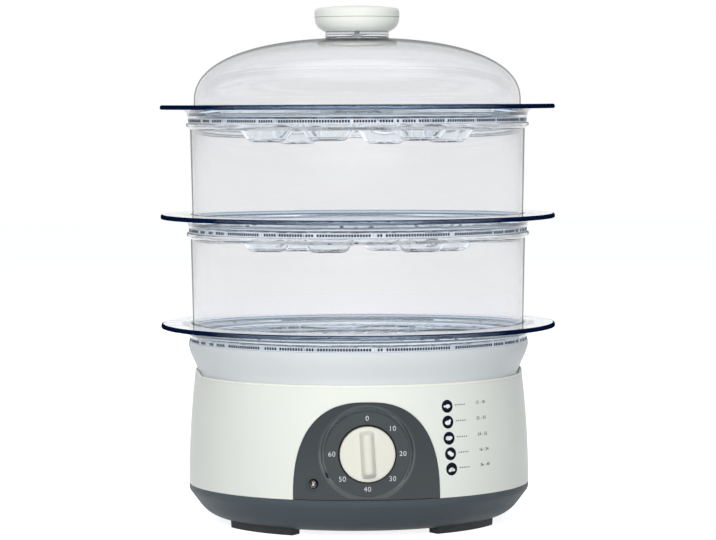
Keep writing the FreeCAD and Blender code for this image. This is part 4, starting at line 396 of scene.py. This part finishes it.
black_dull = grained("black plastic, dull", "#08090a", "#060708", 0.6, 0.8, 0.01,
                     **{"Specular IOR Level": 0.15})


def rounded_line(bm, line, place, segments=4, closed=False):
    """Joins corners into a line. Each is out and up in mm, and the cut-back of its round."""
    corners = [bm.verts.new(place(out * MM, up * MM)) for out, up, _ in line]
    following = corners[1:] + corners[:1] if closed else corners[1:]
    for a, b in zip(corners, following):
        bm.edges.new((a, b))
    for corner, (_, _, cut) in zip(corners, line):
        if cut:
            bmesh.ops.bevel(bm, geom=[corner], offset=cut * MM, offset_type="OFFSET", segments=segments,
                            profile=0.5, affect="VERTICES", material=-1)


def spun(bm, steps, centre=(0, 0, 0), axis=(0, 0, 1)):
    """Turns a line once round an axis, into a skin that closes on itself."""
    bmesh.ops.spin(bm, geom=bm.verts[:] + bm.edges[:], cent=centre, axis=axis, dvec=(0, 0, 0),
                   angle=math.tau, steps=steps, use_merge=True, use_duplicate=False)


# Painted shade: a thin black ring lining the pocket's mouth, so the gap round the knob reads dark.
GAP_SHADE_LINE = ((21.3, -0.06, 0), (20.55, -0.06, 0), (20.55, 4.3, 0))
TOWARDS_BACK = (0, 1, 0)
gap_shade = bmesh.new()
rounded_line(gap_shade, GAP_SHADE_LINE, lambda out, back: (out, DIAL_FACE + back, DIAL_Z))
spun(gap_shade, 96, (0, 0, DIAL_Z), TOWARDS_BACK)
finished("dial_lip", gap_shade, "base", black_dull)


# Timer knob: off-white plastic, a hollow disc with a hub that is pushed on the timer's shaft,
# and a tapered grip bar across its face with well rounded edges.
knob_white = grained("off-white plastic, satin", "#e4e2d6", "#dfddd0", 0.35, 0.9, 0.008)
KNOB_FRONT, KNOB_BACK = (v.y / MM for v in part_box("timer_knob"))
KNOB_DISC = KNOB_FRONT + 9.0
KNOB_LINE = ((0.0, KNOB_DISC - 0.25, 0), (19.0, KNOB_DISC, 0.5), (20.1, KNOB_DISC + 0.7, 0.4),
             (20.1, KNOB_BACK, 0.3), (18.8, KNOB_BACK, 0), (18.6, KNOB_DISC + 2.4, 0.5),
             (6.0, KNOB_DISC + 2.4, 0.4), (5.6, KNOB_BACK, 0), (3.6, KNOB_BACK, 0),
             (3.6, KNOB_DISC + 2.8, 0), (0.0, KNOB_DISC + 2.8, 0))
# The grip's face and foot: half its width, its upper and lower end, and its depth.
GRIP_FACE, GRIP_FOOT = (2.9, 14.6, -13.4, -8.95), (5.5, 17.6, -18.0, 0.6)
GRIP_ROUND = 2.5
GRIP_LEAN = math.radians(3.0)
WELD = 0.5e-6


def welded(bm, distance):
    """Merges corners that meet, and points the faces outwards."""
    bmesh.ops.remove_doubles(bm, verts=bm.verts, dist=distance)
    bmesh.ops.recalc_face_normals(bm, faces=bm.faces)


disc = bmesh.new()
rounded_line(disc, KNOB_LINE, lambda out, back: (out, back, DIAL_Z))
spun(disc, 128, (0, 0, DIAL_Z), TOWARDS_BACK)
welded(disc, WELD)
grip = bmesh.new()
bmesh.ops.create_cube(grip, size=1.0)
for vert in grip.verts:
    half, upper, lower, back = GRIP_FACE if vert.co.y < 0 else GRIP_FOOT
    vert.co = Vector((math.copysign(half, vert.co.x), back, upper if vert.co.z > 0 else lower))
edges = [e for e in grip.edges if min(v.co.y for v in e.verts) < 0]
bmesh.ops.bevel(grip, geom=edges, offset=GRIP_ROUND, offset_type="OFFSET", segments=6, profile=0.5,
                affect="EDGES", clamp_overlap=True, material=-1)
bmesh.ops.transform(grip, matrix=(Matrix.Translation((0, KNOB_DISC * MM, DIAL_Z))
                                  @ Matrix.Rotation(-GRIP_LEAN, 4, "Y") @ Matrix.Scale(MM, 4)),
                    verts=grip.verts)
gather(disc, grip)
piece = finished("timer_knob_moulding", disc, "timer_rotor", knob_white, sharp=50.0)
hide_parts("timer_knob")


# Numbers round the dial: plain white figures, one for every ten minutes clockwise from the
# top, pad printed on the dial's face in ink that dries dull.
print_white = grained("white printing ink, dull", "#e2e6e7", "#dce0e1", 0.5, 0.5, 0.002)
NUMBER_RADIUS, NUMBER_HEIGHT, NUMBER_THINNER = 25.8, 3.8, 0.045
NUMBER_FILM = 0.04 * MM
UPRIGHT = Matrix.Rotation(math.radians(90), 4, "X")
numbers = bmesh.new()
for i in range(7):
    digits = lettering(str(10 * i), NUMBER_HEIGHT, NUMBER_THINNER)
    turn = math.radians(45.0 * i)
    spot = (NUMBER_RADIUS * math.sin(turn) * MM, DIAL_FACE - NUMBER_FILM,
            DIAL_Z + NUMBER_RADIUS * math.cos(turn) * MM)
    bmesh.ops.transform(digits, matrix=Matrix.Translation(spot) @ UPRIGHT, verts=digits.verts)
    gather(numbers, digits)
finished("dial_numbers", numbers, "base", print_white)


# Indicator lamp: a small polished lens of smoked plastic, set in the panel. The pale shapes laid
# thin on its face are painted highlights, standing for the lamps and the floor mirrored in it.
lens_dark = grained("smoked lens, polished", "#060606", "#050505", 0.08, 2.0, 0.0)
dress("indicator_lens", lens_dark)
glint_pale = grained("nickel electrodes, pale", "#f2f2ee", "#e6e6e2", 0.4, 0.5, 0.002)
low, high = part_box("indicator_lens")
lens = frame["nodes"]["indicator_lens"]
LAMP_TURN = math.atan2(low.x + high.x, -low.y - high.y)
LAMP_AT = (low + high) / 2
OFF_LENS, GLINT_FILM = 0.02, 0.03 * MM
# Painted highlights: pale shapes laid on the lens face, where it mirrors the lamps and the floor.
LENS_GLINTS = ((0.4, 1.2, 0.9, 1.25, 0, 24), (0.15, -0.2, 0.5, 1.0, 0, 16), (-0.1, -1.7, 1.6, 0.95, 0, 24))
outward = Vector((math.sin(LAMP_TURN), -math.cos(LAMP_TURN), 0))
glints = bmesh.new()
for shape in LENS_GLINTS:
    oval(glints, *shape)
bmesh.ops.transform(glints, verts=glints.verts,
                    matrix=Matrix.Translation(LAMP_AT) @ Matrix.Rotation(LAMP_TURN, 4, "Z") @ UPRIGHT)
for vert in glints.verts:
    spot = lens.ray_cast(vert.co + outward * OFF_LENS, -outward)[1]
    vert.co = spot + outward * GLINT_FILM
finished("lamp_electrodes", glints, "base", glint_pale)


# Drip tray and steam ring: both moulded in milky polypropylene that lets a little light
# through, so that they look soft and pale. The tray stands loose on the housing's rim.
frosted = grained("milky polypropylene, frosted", "#dde1e1", "#d8dcdc", 0.45, 0.8, 0.02,
                  **{"Subsurface Weight": 0.3, "Subsurface Radius": (0.004, 0.004, 0.004)})
dress("drip_tray", frosted)
dress("steam_ring", frosted)


# Bowls: two straight walls with a bead round the top, moulded in a nearly colourless clear
# plastic; the grey where it is seen edge on is painted shade. Each stands loose on the tray below it.
def clear_plastic(name, face, edge, slants, outline, losses, ripple_mm=30.0, depth_mm=0.02):
    """Losses are what a metre of it takes out of red, green and blue. The edge tint and the dark
    outline are painted shade and follow stops of the slant. Returns the material and what a caller builds on."""
    material, tree = bare_material(name)
    place = add(tree, "ShaderNodeTexCoord").outputs["Object"]
    ripple = add(tree, "ShaderNodeTexNoise", {"Vector": place, "Scale": 1 / (ripple_mm * MM), "Detail": 1.0})
    bump = add(tree, "ShaderNodeBump", {"Height": ripple.outputs["Fac"], "Strength": 1.0,
                                        "Distance": depth_mm * MM})
    facing = add(tree, "ShaderNodeLayerWeight", {"Blend": 0.5}).outputs["Facing"]
    tint = add(tree, "ShaderNodeMix", {"Factor": ramp(tree, facing, slants),
                                       "A": colour(face), "B": colour(edge)}, data_type="RGBA")
    skin = add(tree, "ShaderNodeBsdfPrincipled", {"Base Color": tint.outputs["Result"], "Roughness": 0.0,
                                                  "IOR": 1.53, "Transmission Weight": 1.0,
                                                  "Normal": bump.outputs[0]})
    # The dark outline, painted shade, lies on the outer side only, where a face points away from the origin.
    shell_side = add(tree, "ShaderNodeNewGeometry")
    outward = add(tree, "ShaderNodeVectorMath", {0: place, 1: shell_side.outputs["True Normal"]},
                  operation="DOT_PRODUCT")
    outer = add(tree, "ShaderNodeMath", {0: outward.outputs["Value"], 1: 0.0}, operation="GREATER_THAN")
    outer = add(tree, "ShaderNodeMath", {0: outer.outputs[0], 1: shell_side.outputs["Backfacing"]},
                operation="SUBTRACT", use_clamp=True)
    line = add(tree, "ShaderNodeMath", {0: ramp(tree, facing, outline), 1: outer.outputs[0]},
               operation="MULTIPLY")
    dark = add(tree, "ShaderNodeBsdfDiffuse", {"Color": colour("#5b5e60")})
    lined = add(tree, "ShaderNodeMixShader", {0: line.outputs[0], 1: skin.outputs[0], 2: dark.outputs[0]})
    loss = max(losses)
    depth = add(tree, "ShaderNodeVolumeAbsorption", {"Color": [1 - v / loss for v in losses] + [1.0],
                                                     "Density": loss})
    end = add(tree, "ShaderNodeOutputMaterial", {"Surface": lined.outputs[0], "Volume": depth.outputs[0]})
    return material, place, facing, skin, end


# Painted shade: the grey edge tint and dark outline where the wall is seen edge on.
clear_wall = clear_plastic("clear plastic, polished", "#f5f5f6", "#44474b",
                           ((0.5, 0.0), (0.7, 0.06), (0.85, 0.22), (0.96, 0.8)),
                           ((0.85, 0.0), (0.9, 0.6), (1.0, 0.8)), (9.0, 8.5, 7.5))[0]


def see_through(piece):
    """Light passes clear plastic without a hard shadow."""
    piece.visible_shadow = False
    piece.visible_diffuse = False


def turned(line, steps):
    """A closed shell, spun round the upright axis."""
    bm = bmesh.new()
    rounded_line(bm, line, lambda out, up: (out, 0, up), closed=True)
    spun(bm, steps)
    welded(bm, WELD)
    return bm


BOWL_FOOT, BOWL_TOP, BOWL_BEAD, BOWL_WALL = 125.7, 127.2, 130.2, 2.2
# Past this small angle an edge stays sharp, or the long straight walls would be shaded round
# and bend what is seen through them.
CLEAR_SHARP = 11.0
for name in ("bowl_lower", "bowl_upper"):
    low, high = (v.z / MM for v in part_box(name))
    bowl = turned([(BOWL_FOOT - BOWL_WALL, low, 0.6), (BOWL_FOOT, low, 0.6),
                   (BOWL_TOP, high - 4.4, 0.5), (BOWL_BEAD, high - 2.2, 0.6), (BOWL_BEAD, high, 0.6),
                   (BOWL_TOP - BOWL_WALL, high, 0.6)], 256)
    piece = finished(name + "_wall", bowl, name, clear_wall, sharp=CLEAR_SHARP)
    see_through(piece)
    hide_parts(name)


# Trays: each is one clear, faintly blue moulding with a flat flange to hold it by, a ring that
# stands on the part below, and a pierced floor with six egg cups. The flange goes navy where
# its edge is looked into, and most of the small pits round the ring are navy too.
FLAT = ((0.0, 0.0), (1.0, 0.0))
SPECKLE_MM, RIB_HAZE, EDGE_LINE = 4.0, 0.72, 0.45
clear_tray, place, facing, skin, end = clear_plastic("clear plastic, faintly blue", "#ffffff", "#ffffff",
                                                     FLAT, FLAT, (22.0, 12.5, 4.5), 12.0, 0.03)
tree = clear_tray.node_tree
speckle = add(tree, "ShaderNodeTexNoise", {"Vector": place, "Scale": 1 / (SPECKLE_MM * MM), "Detail": 2.0})
speckle = ramp(tree, speckle.outputs["Fac"], ((0.52, 0.0), (0.58, 0.85)))
speckle = add(tree, "ShaderNodeMath", {0: speckle, 1: ramp(tree, facing, ((0.75, 0.0), (0.9, 1.0)))},
              operation="MULTIPLY")
near = add(tree, "ShaderNodeNewGeometry")
front = add(tree, "ShaderNodeMath", {0: 1.0, 1: near.outputs["Backfacing"]}, operation="SUBTRACT")
edge_on = add(tree, "ShaderNodeMath", {0: ramp(tree, facing, ((0.0, 0.15), (0.1, 0.65), (0.35, 1.0))),
                                       1: front.outputs[0]}, operation="MULTIPLY")
# Painted shade: the edged mark lays a dark grey line on the flange's slanted rounds.
MARKS = (("pebbled", speckle.outputs[0], "#6c7a92"), ("ribbed", RIB_HAZE, "#dbe2ec"),
         ("edged", EDGE_LINE, "#6d7480"), ("rim", edge_on.outputs[0], "#081838"))
shown = skin
for mark, amount, tint in MARKS:
    here = add(tree, "ShaderNodeAttribute", attribute_name=mark)
    share = add(tree, "ShaderNodeMath", {0: here.outputs["Fac"], 1: amount}, operation="MULTIPLY")
    stain = add(tree, "ShaderNodeBsdfDiffuse", {"Color": colour(tint)})
    shown = add(tree, "ShaderNodeMixShader", {0: share.outputs[0], 1: shown.outputs[0], 2: stain.outputs[0]})
tree.links.new(shown.outputs[0], end.inputs["Surface"])
pit_navy = grained("navy pits, dull", "#071024", "#060c1c", 0.5, 0.8, 0.01, **{"Specular IOR Level": 0.2})

TRAY_STEPS = 768
STEP = math.tau / TRAY_STEPS
RIM_HOLES = 48
FIRST_HOLE = math.radians(9.3)
START = FIRST_HOLE - math.pi / RIM_HOLES
HOLE, HUB = 2.0, 8.0
CUPS, CUP_CIRCLE, CUP_MOUTH = 6, 70.0, 24.5
CUP_LINE = ((CUP_MOUTH, 0, 0), (23.5, 0, 0.9), (12.9, -15.0, 2.6), (2.5, -15.0, 0))
FLOOR_EDGE, FLOOR_TOP, FLOOR_THICK = 118.4, -8.0, 2.0
FLOOR_WELD, SHELL_WELD = 2e-6, 5e-6
SHELL_LINE = ((FLOOR_EDGE, FLOOR_TOP, 0), (FLOOR_EDGE, -6, 0.8), (127, -6, 0.8), (127, 0, 0.8), (150, 0, 1.5),
              (150, -3.4, 0.8), (129.2, -3.4, 5.0), (129.2, -10.2, 0.2), (128.6, -10.2, 0),
              (128.6, -10.8, 0), (128.6, -12.8, 0), (128.6, -14, 0.5), (126.6, -14, 0.5), (126.6, -8, 0.6),
              (123, -8, 0.6), (123, -18.2, 0.6), (121.2, -18.2, 0.6), (121.2, -10, 0),
              (FLOOR_EDGE, FLOOR_TOP - FLOOR_THICK, 0))
PIT_TOP, PIT_LOW, PIT_WIDER, PIT_OUT = -10.8, -12.8, 0.2, 128.3
PIT_DEPTH, PIT_EDGE = 0.5, 0.06
PATCHES_PER_METRE, NAVY_ABOVE = 260, -0.3
# The floor in bands, from the hub out: inner and outer radius, how many holes, the cuts round
# the inner and the outer edge, the radius of the holes' circle and of a hole, and its cuts.
BANDS = ((HUB, 20.0, 6, 48, 48, 14.1, HOLE, 12), (20.0, 32.0, 12, 48, 144, 25.9, HOLE, 12),
         (32.0, 44.0, 18, 144, 144, 37.95, HOLE, 12), (44.0, 96.0, CUPS, 144, 192, CUP_CIRCLE, CUP_MOUTH, 48),
         (96.0, 106.5, RIM_HOLES, 192, 192, 102.0, HOLE, 12),
         (106.5, FLOOR_EDGE, RIM_HOLES, 192, TRAY_STEPS, 111.0, HOLE, 12))


def arc(bm, radius, start, end, pieces, centre=(0.0, 0.0)):
    """Corners along an arc, both ends included."""
    found = []
    for i in range(pieces + 1):
        turn = start + (end - start) * i / pieces
        found.append(bm.verts.new(((centre[0] + radius * math.cos(turn)) * MM,
                                   (centre[1] + radius * math.sin(turn)) * MM, 0.0)))
    return found


def pierced_band(inner, outer, count, inner_cuts, outer_cuts, circle, hole, hole_cuts):
    """One sector of a band of the floor, with its hole."""
    bm = bmesh.new()
    half = math.pi / count
    near = arc(bm, inner, FIRST_HOLE - half, FIRST_HOLE + half, inner_cuts // count)
    far = arc(bm, outer, FIRST_HOLE + half, FIRST_HOLE - half, outer_cuts // count)
    centre = (circle * math.cos(FIRST_HOLE), circle * math.sin(FIRST_HOLE))
    mouth = arc(bm, hole, FIRST_HOLE, FIRST_HOLE + math.tau, hole_cuts, centre)
    bm.verts.remove(mouth.pop())
    for loop in (near + far, mouth):
        for a, b in zip(loop, loop[1:] + loop[:1]):
            bm.edges.new((a, b))
    bmesh.ops.triangle_fill(bm, use_beauty=True, use_dissolve=False, edges=bm.edges[:], normal=(0, 0, 1))
    return bm


def repeated(bm, count):
    """Copies everything round the axis and merges where the copies meet."""
    bmesh.ops.spin(bm, geom=bm.verts[:] + bm.edges[:] + bm.faces[:], cent=(0, 0, 0), axis=(0, 0, 1),
                   dvec=(0, 0, 0), angle=math.tau * (count - 1) / count, steps=count - 1, use_duplicate=True)
    bmesh.ops.remove_doubles(bm, verts=bm.verts, dist=FLOOR_WELD)
    return bm


floor_sheet = bmesh.new()
for band in BANDS:
    gather(floor_sheet, repeated(pierced_band(*band), band[2]))
hub = bmesh.new()
bmesh.ops.create_circle(hub, cap_ends=True, segments=48, radius=HUB * MM,
                        matrix=Matrix.Rotation(FIRST_HOLE - math.pi / CUPS, 4, "Z"))
gather(floor_sheet, hub)
cup = bmesh.new()
ray = Vector((math.cos(FIRST_HOLE), math.sin(FIRST_HOLE), 0))
centre = ray * CUP_CIRCLE * MM
rounded_line(cup, CUP_LINE, lambda out, up: centre + ray * out + Vector((0, 0, up)))
spun(cup, 48, centre)
gather(floor_sheet, repeated(cup, CUPS))
welded(floor_sheet, FLOOR_WELD)
if sum(f.normal.z * f.calc_area() for f in floor_sheet.faces) < 0:
    bmesh.ops.reverse_faces(floor_sheet, faces=floor_sheet.faces)
bmesh.ops.solidify(floor_sheet, geom=floor_sheet.faces[:], thickness=FLOOR_THICK * MM)
rim_faces = [f for f in floor_sheet.faces
             if all(abs(v.co.xy.length - FLOOR_EDGE * MM) < SHELL_WELD for v in f.verts)]
bmesh.ops.delete(floor_sheet, geom=rim_faces, context="FACES")
top_z = max(v.co.z for v in floor_sheet.verts)
bmesh.ops.translate(floor_sheet, verts=floor_sheet.verts, vec=(0, 0, FLOOR_TOP * MM - top_z))
tray_floor = bpy.data.meshes.new("tray_floor")
floor_sheet.to_mesh(tray_floor)
floor_sheet.free()

shell = bmesh.new()
ray = Matrix.Rotation(START, 3, "Z") @ Vector((1, 0, 0))
rounded_line(shell, SHELL_LINE, lambda out, up: ray * out + Vector((0, 0, up)), segments=3)
spun(shell, TRAY_STEPS)
welded(shell, WELD)
shell.from_mesh(tray_floor)
welded(shell, SHELL_WELD)


def step_of(spot):
    """How many steps from the first one round the axis, with parts of a step."""
    return (math.atan2(spot.y, spot.x) - START) % math.tau / STEP


def beside_pits(spot):
    """Whether a place lies in the row round the ring that holds the pits."""
    return PIT_LOW * MM - 1e-6 < spot.z < PIT_TOP * MM + 1e-6 and spot.xy.length > PIT_OUT * MM


for vert in shell.verts:
    if beside_pits(vert.co):
        wider = PIT_WIDER if round(step_of(vert.co)) % 2 else -PIT_WIDER
        vert.co = Matrix.Rotation(wider * STEP, 3, "Z") @ vert.co
# Each new layer moves the ones before it in memory, so all are looked up again by name.
shell.faces.layers.int.new("pit")
for mark, _, _ in MARKS:
    shell.faces.layers.float.new(mark)
pitted = shell.faces.layers.int["pit"]
layers = {mark: shell.faces.layers.float[mark] for mark, _, _ in MARKS}
pits = [f for f in shell.faces
        if beside_pits(f.calc_center_median()) and int(step_of(f.calc_center_median())) % 2 == 0]
bmesh.ops.inset_individual(shell, faces=pits, thickness=PIT_EDGE * MM, depth=-PIT_DEPTH * MM)
for i, f in enumerate(pits):
    for side in (f, *(e for edge in f.edges for e in edge.link_faces)):
        side[pitted] = i + 1
for f in shell.faces:
    middle = f.calc_center_median() / MM
    out, up = middle.xy.length, middle.z
    found = {"rim": out > 147.5 and up < -0.1, "ribbed": out > 128.2 and up < -10.1,
             "edged": FLOOR_EDGE < out < 149.9 and 0.2 < f.normal.z < 0.95 and up > -7,
             "pebbled": out < FLOOR_EDGE and up < -7.5 and abs(f.normal.z) > 0.9}
    for mark, layer in layers.items():
        f[layer] = 1.0 if found[mark] else 0.0
places = [f.calc_center_median() * PATCHES_PER_METRE for f in pits]
tray_mould = bpy.data.meshes.new("tray_mould")
shell.to_mesh(tray_mould)
shell.free()

for name, shift in (("tray_bottom", 11), ("tray_middle", 11), ("tray_top", 8)):
    shell = bmesh.new()
    shell.from_mesh(tray_mould)
    dark = {i + 1 for i, spot in enumerate(places)
            if noise.noise(spot + Vector((0, 0, shift))) > NAVY_ABOVE}
    pitted = shell.faces.layers.int["pit"]
    for f in shell.faces:
        f.material_index = 1 if f[pitted] in dark else 0
    bmesh.ops.translate(shell, verts=shell.verts, vec=(0, 0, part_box(name)[1].z))
    piece = finished(name + "_moulding", shell, name, clear_tray, pit_navy, sharp=CLEAR_SHARP)
    see_through(piece)
    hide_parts(name)


# Lid: a deep dome with six steam vents under its knob, moulded in the bowls' clear plastic.
# It lies loose on the top tray, and a screw through its neck holds the knob.
DOME_R, DOME_RISE, DOME_POWER, DOME_WALL, DOME_CUTS = 124.2, 48.5, 2.35, 2.2, 40
NECK_R, SCREW_HOLE = 24.0, 2.2
LID_FOOT, NECK_TOP = (v.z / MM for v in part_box("lid_dome"))
DOME_FOOT = LID_FOOT + 8.0
NECK_FOOT = DOME_FOOT + DOME_RISE
VENTS, VENT, VENT_CIRCLE = 6, 1.6, 29.0
DRILL_LENGTH, DRILL_BELOW = 30, 6


def dome_line(radius, rise, least):
    """Corners up one side of the dome, as far in as the least radius."""
    found = []
    for i in range(DOME_CUTS + 1):
        turn = math.radians(90) * i / DOME_CUTS
        out = radius * math.cos(turn) ** (2 / DOME_POWER)
        if out > least:
            found.append((out, DOME_FOOT + rise * math.sin(turn) ** (2 / DOME_POWER), 0))
    return found


foot = [(DOME_R - DOME_WALL, LID_FOOT, 0.6), (DOME_R, LID_FOOT, 0.6)]
outside = dome_line(DOME_R, DOME_RISE, NECK_R + 0.5)
neck = [(NECK_R, NECK_FOOT - 0.3, 0.3), (NECK_R, NECK_TOP, 0.5), (SCREW_HOLE, NECK_TOP, 0),
        (SCREW_HOLE, NECK_TOP - DOME_WALL, 0), (NECK_R - DOME_WALL, NECK_TOP - DOME_WALL, 0.5),
        (NECK_R - DOME_WALL, NECK_FOOT - DOME_WALL - 0.2, 0.3)]
inside = dome_line(DOME_R - DOME_WALL, DOME_RISE - DOME_WALL, NECK_R - DOME_WALL)
lid = turned(foot + outside + neck + inside[::-1], 256)
piece = finished("lid_shell", lid, "lid", clear_wall, sharp=CLEAR_SHARP)
drill = bmesh.new()
for i in range(VENTS):
    turn = math.radians(30) + math.tau * i / VENTS
    spot = Vector((VENT_CIRCLE * math.cos(turn), VENT_CIRCLE * math.sin(turn), NECK_TOP - DRILL_BELOW)) * MM
    bmesh.ops.create_cone(drill, cap_ends=True, segments=20, radius1=VENT * MM, radius2=VENT * MM,
                          depth=DRILL_LENGTH * MM, matrix=Matrix.Translation(spot))
drill_mesh = bpy.data.meshes.new("drill")
drill.to_mesh(drill_mesh)
drill.free()
drill_rods = bpy.data.objects.new("drill", drill_mesh)
scene.collection.objects.link(drill_rods)
cut = piece.modifiers.new("vents", "BOOLEAN")
cut.operation = "DIFFERENCE"
cut.object = drill_rods
whole = bpy.data.meshes.new_from_object(piece.evaluated_get(bpy.context.evaluated_depsgraph_get()))
piece.modifiers.clear()
piece.data = whole
bpy.data.objects.remove(drill_rods)
see_through(piece)
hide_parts("lid_dome")


# Lid knob: a hollow lower half with a round belly and a crowned cap snapped into it, both
# moulded in warm white; a fine dark line stays where they meet.
lid_white = grained("warm white plastic, satin", "#eeefe7", "#eaebe3", 0.36, 0.9, 0.008)
dress("lid_knob_cap", lid_white)
KNOB_FOOT, KNOB_SPLIT = (v.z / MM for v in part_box("lid_knob_lower"))
belly = turned([(2.0, KNOB_FOOT, 0), (24.6, KNOB_FOOT, 1.0), (31.3, KNOB_FOOT + 4.0, 4.0),
                (32.2, KNOB_SPLIT, 0.15), (30.0, KNOB_SPLIT, 0), (29.2, KNOB_FOOT + 5.0, 3.0),
                (23.0, KNOB_FOOT + 2.2, 0.5), (5.0, KNOB_FOOT + 2.2, 0), (5.0, KNOB_SPLIT, 0),
                (2.0, KNOB_SPLIT, 0)], 128)
piece = finished("lid_knob_belly", belly, "lid", lid_white)
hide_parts("lid_knob_lower")
seam_shade = grained("shaded joint line", "#77786f", "#6c6d65", 0.6, 0.5, 0.002)
JOINT_IN, JOINT_OUT, JOINT_HALF, JOINT_PROUD = 31.9, 32.2, 0.16, 1.0005
line = turned([(JOINT_IN, KNOB_SPLIT - JOINT_HALF, 0), (JOINT_OUT, KNOB_SPLIT - JOINT_HALF, 0),
               (JOINT_OUT, KNOB_SPLIT + JOINT_HALF, 0), (JOINT_IN, KNOB_SPLIT + JOINT_HALF, 0)], 128)
for vert in line.verts:
    vert.co.xy *= JOINT_PROUD
finished("lid_knob_joint", line, "lid", seam_shade)


# Everything inside the base: the tank and the plate, the clockwork timer in steel and brass,
# plated screws, and leads in coloured insulation, each with the finish of what it is made of.
def metal(name, tint, roughness, brushed_mm):
    """A bare metal, its shine broken up by the fine marks of rolling or stamping."""
    material, tree = bare_material(name)
    place = add(tree, "ShaderNodeTexCoord").outputs["Object"]
    grain = add(tree, "ShaderNodeTexNoise", {"Vector": place, "Scale": 1 / (brushed_mm * MM), "Detail": 3.0})
    rough = add(tree, "ShaderNodeMapRange", {"Value": grain.outputs["Fac"], "To Min": roughness * 0.7,
                                             "To Max": roughness * 1.3})
    skin = add(tree, "ShaderNodeBsdfPrincipled", {"Base Color": colour(tint), "Metallic": 1.0,
                                                  "Roughness": rough.outputs[0]})
    add(tree, "ShaderNodeOutputMaterial", {"Surface": skin.outputs[0]})
    return material


by_slot = {
    "white_plastic": white_satin,
    "dark_plastic": slate_gloss,
    "clear_plastic": clear_wall,
    "frosted_plastic": frosted,
    "black_rubber": rubber,
    "silicone": grained("white silicone, dull", "#e4e6e8", "#dcdfe1", 0.6, 0.7, 0.02),
    "steel": metal("steel, rolled", "#b8babd", 0.34, 0.6),
    "plated_screws": metal("zinc plated steel", "#c9cbcd", 0.3, 0.4),
    "brass_parts": metal("brass, stamped", "#c9a45a", 0.3, 0.5),
    "heater_sheath": metal("heater sheath, oxidised", "#6f6a64", 0.5, 0.8),
    "black_plastic": black_dull,
    "clear_lens": lens_dark,
    "amber_glass": grained("amber glass lamp", "#c8702a", "#b8621f", 0.15, 2.0, 0.0),
    "brown_lead": grained("brown lead insulation", "#5c3a24", "#53341f", 0.5, 0.6, 0.01),
    "blue_lead": grained("blue lead insulation", "#2f5c9a", "#2a548e", 0.5, 0.6, 0.01),
}
dressed = {"base_housing", "bottom_cover", "foot_front_left", "foot_front_right", "foot_rear_left",
           "foot_rear_right", "cord_gland", "control_panel", "timer_knob", "indicator_lens", "drip_tray",
           "steam_ring", "lid_knob_lower", "lid_knob_cap", "tray_bottom", "tray_middle", "tray_top"}
for part in frame["record"]["subparts"]:
    if part["node"] not in dressed:
        dress(part["node"], by_slot[part["material_slot"]])
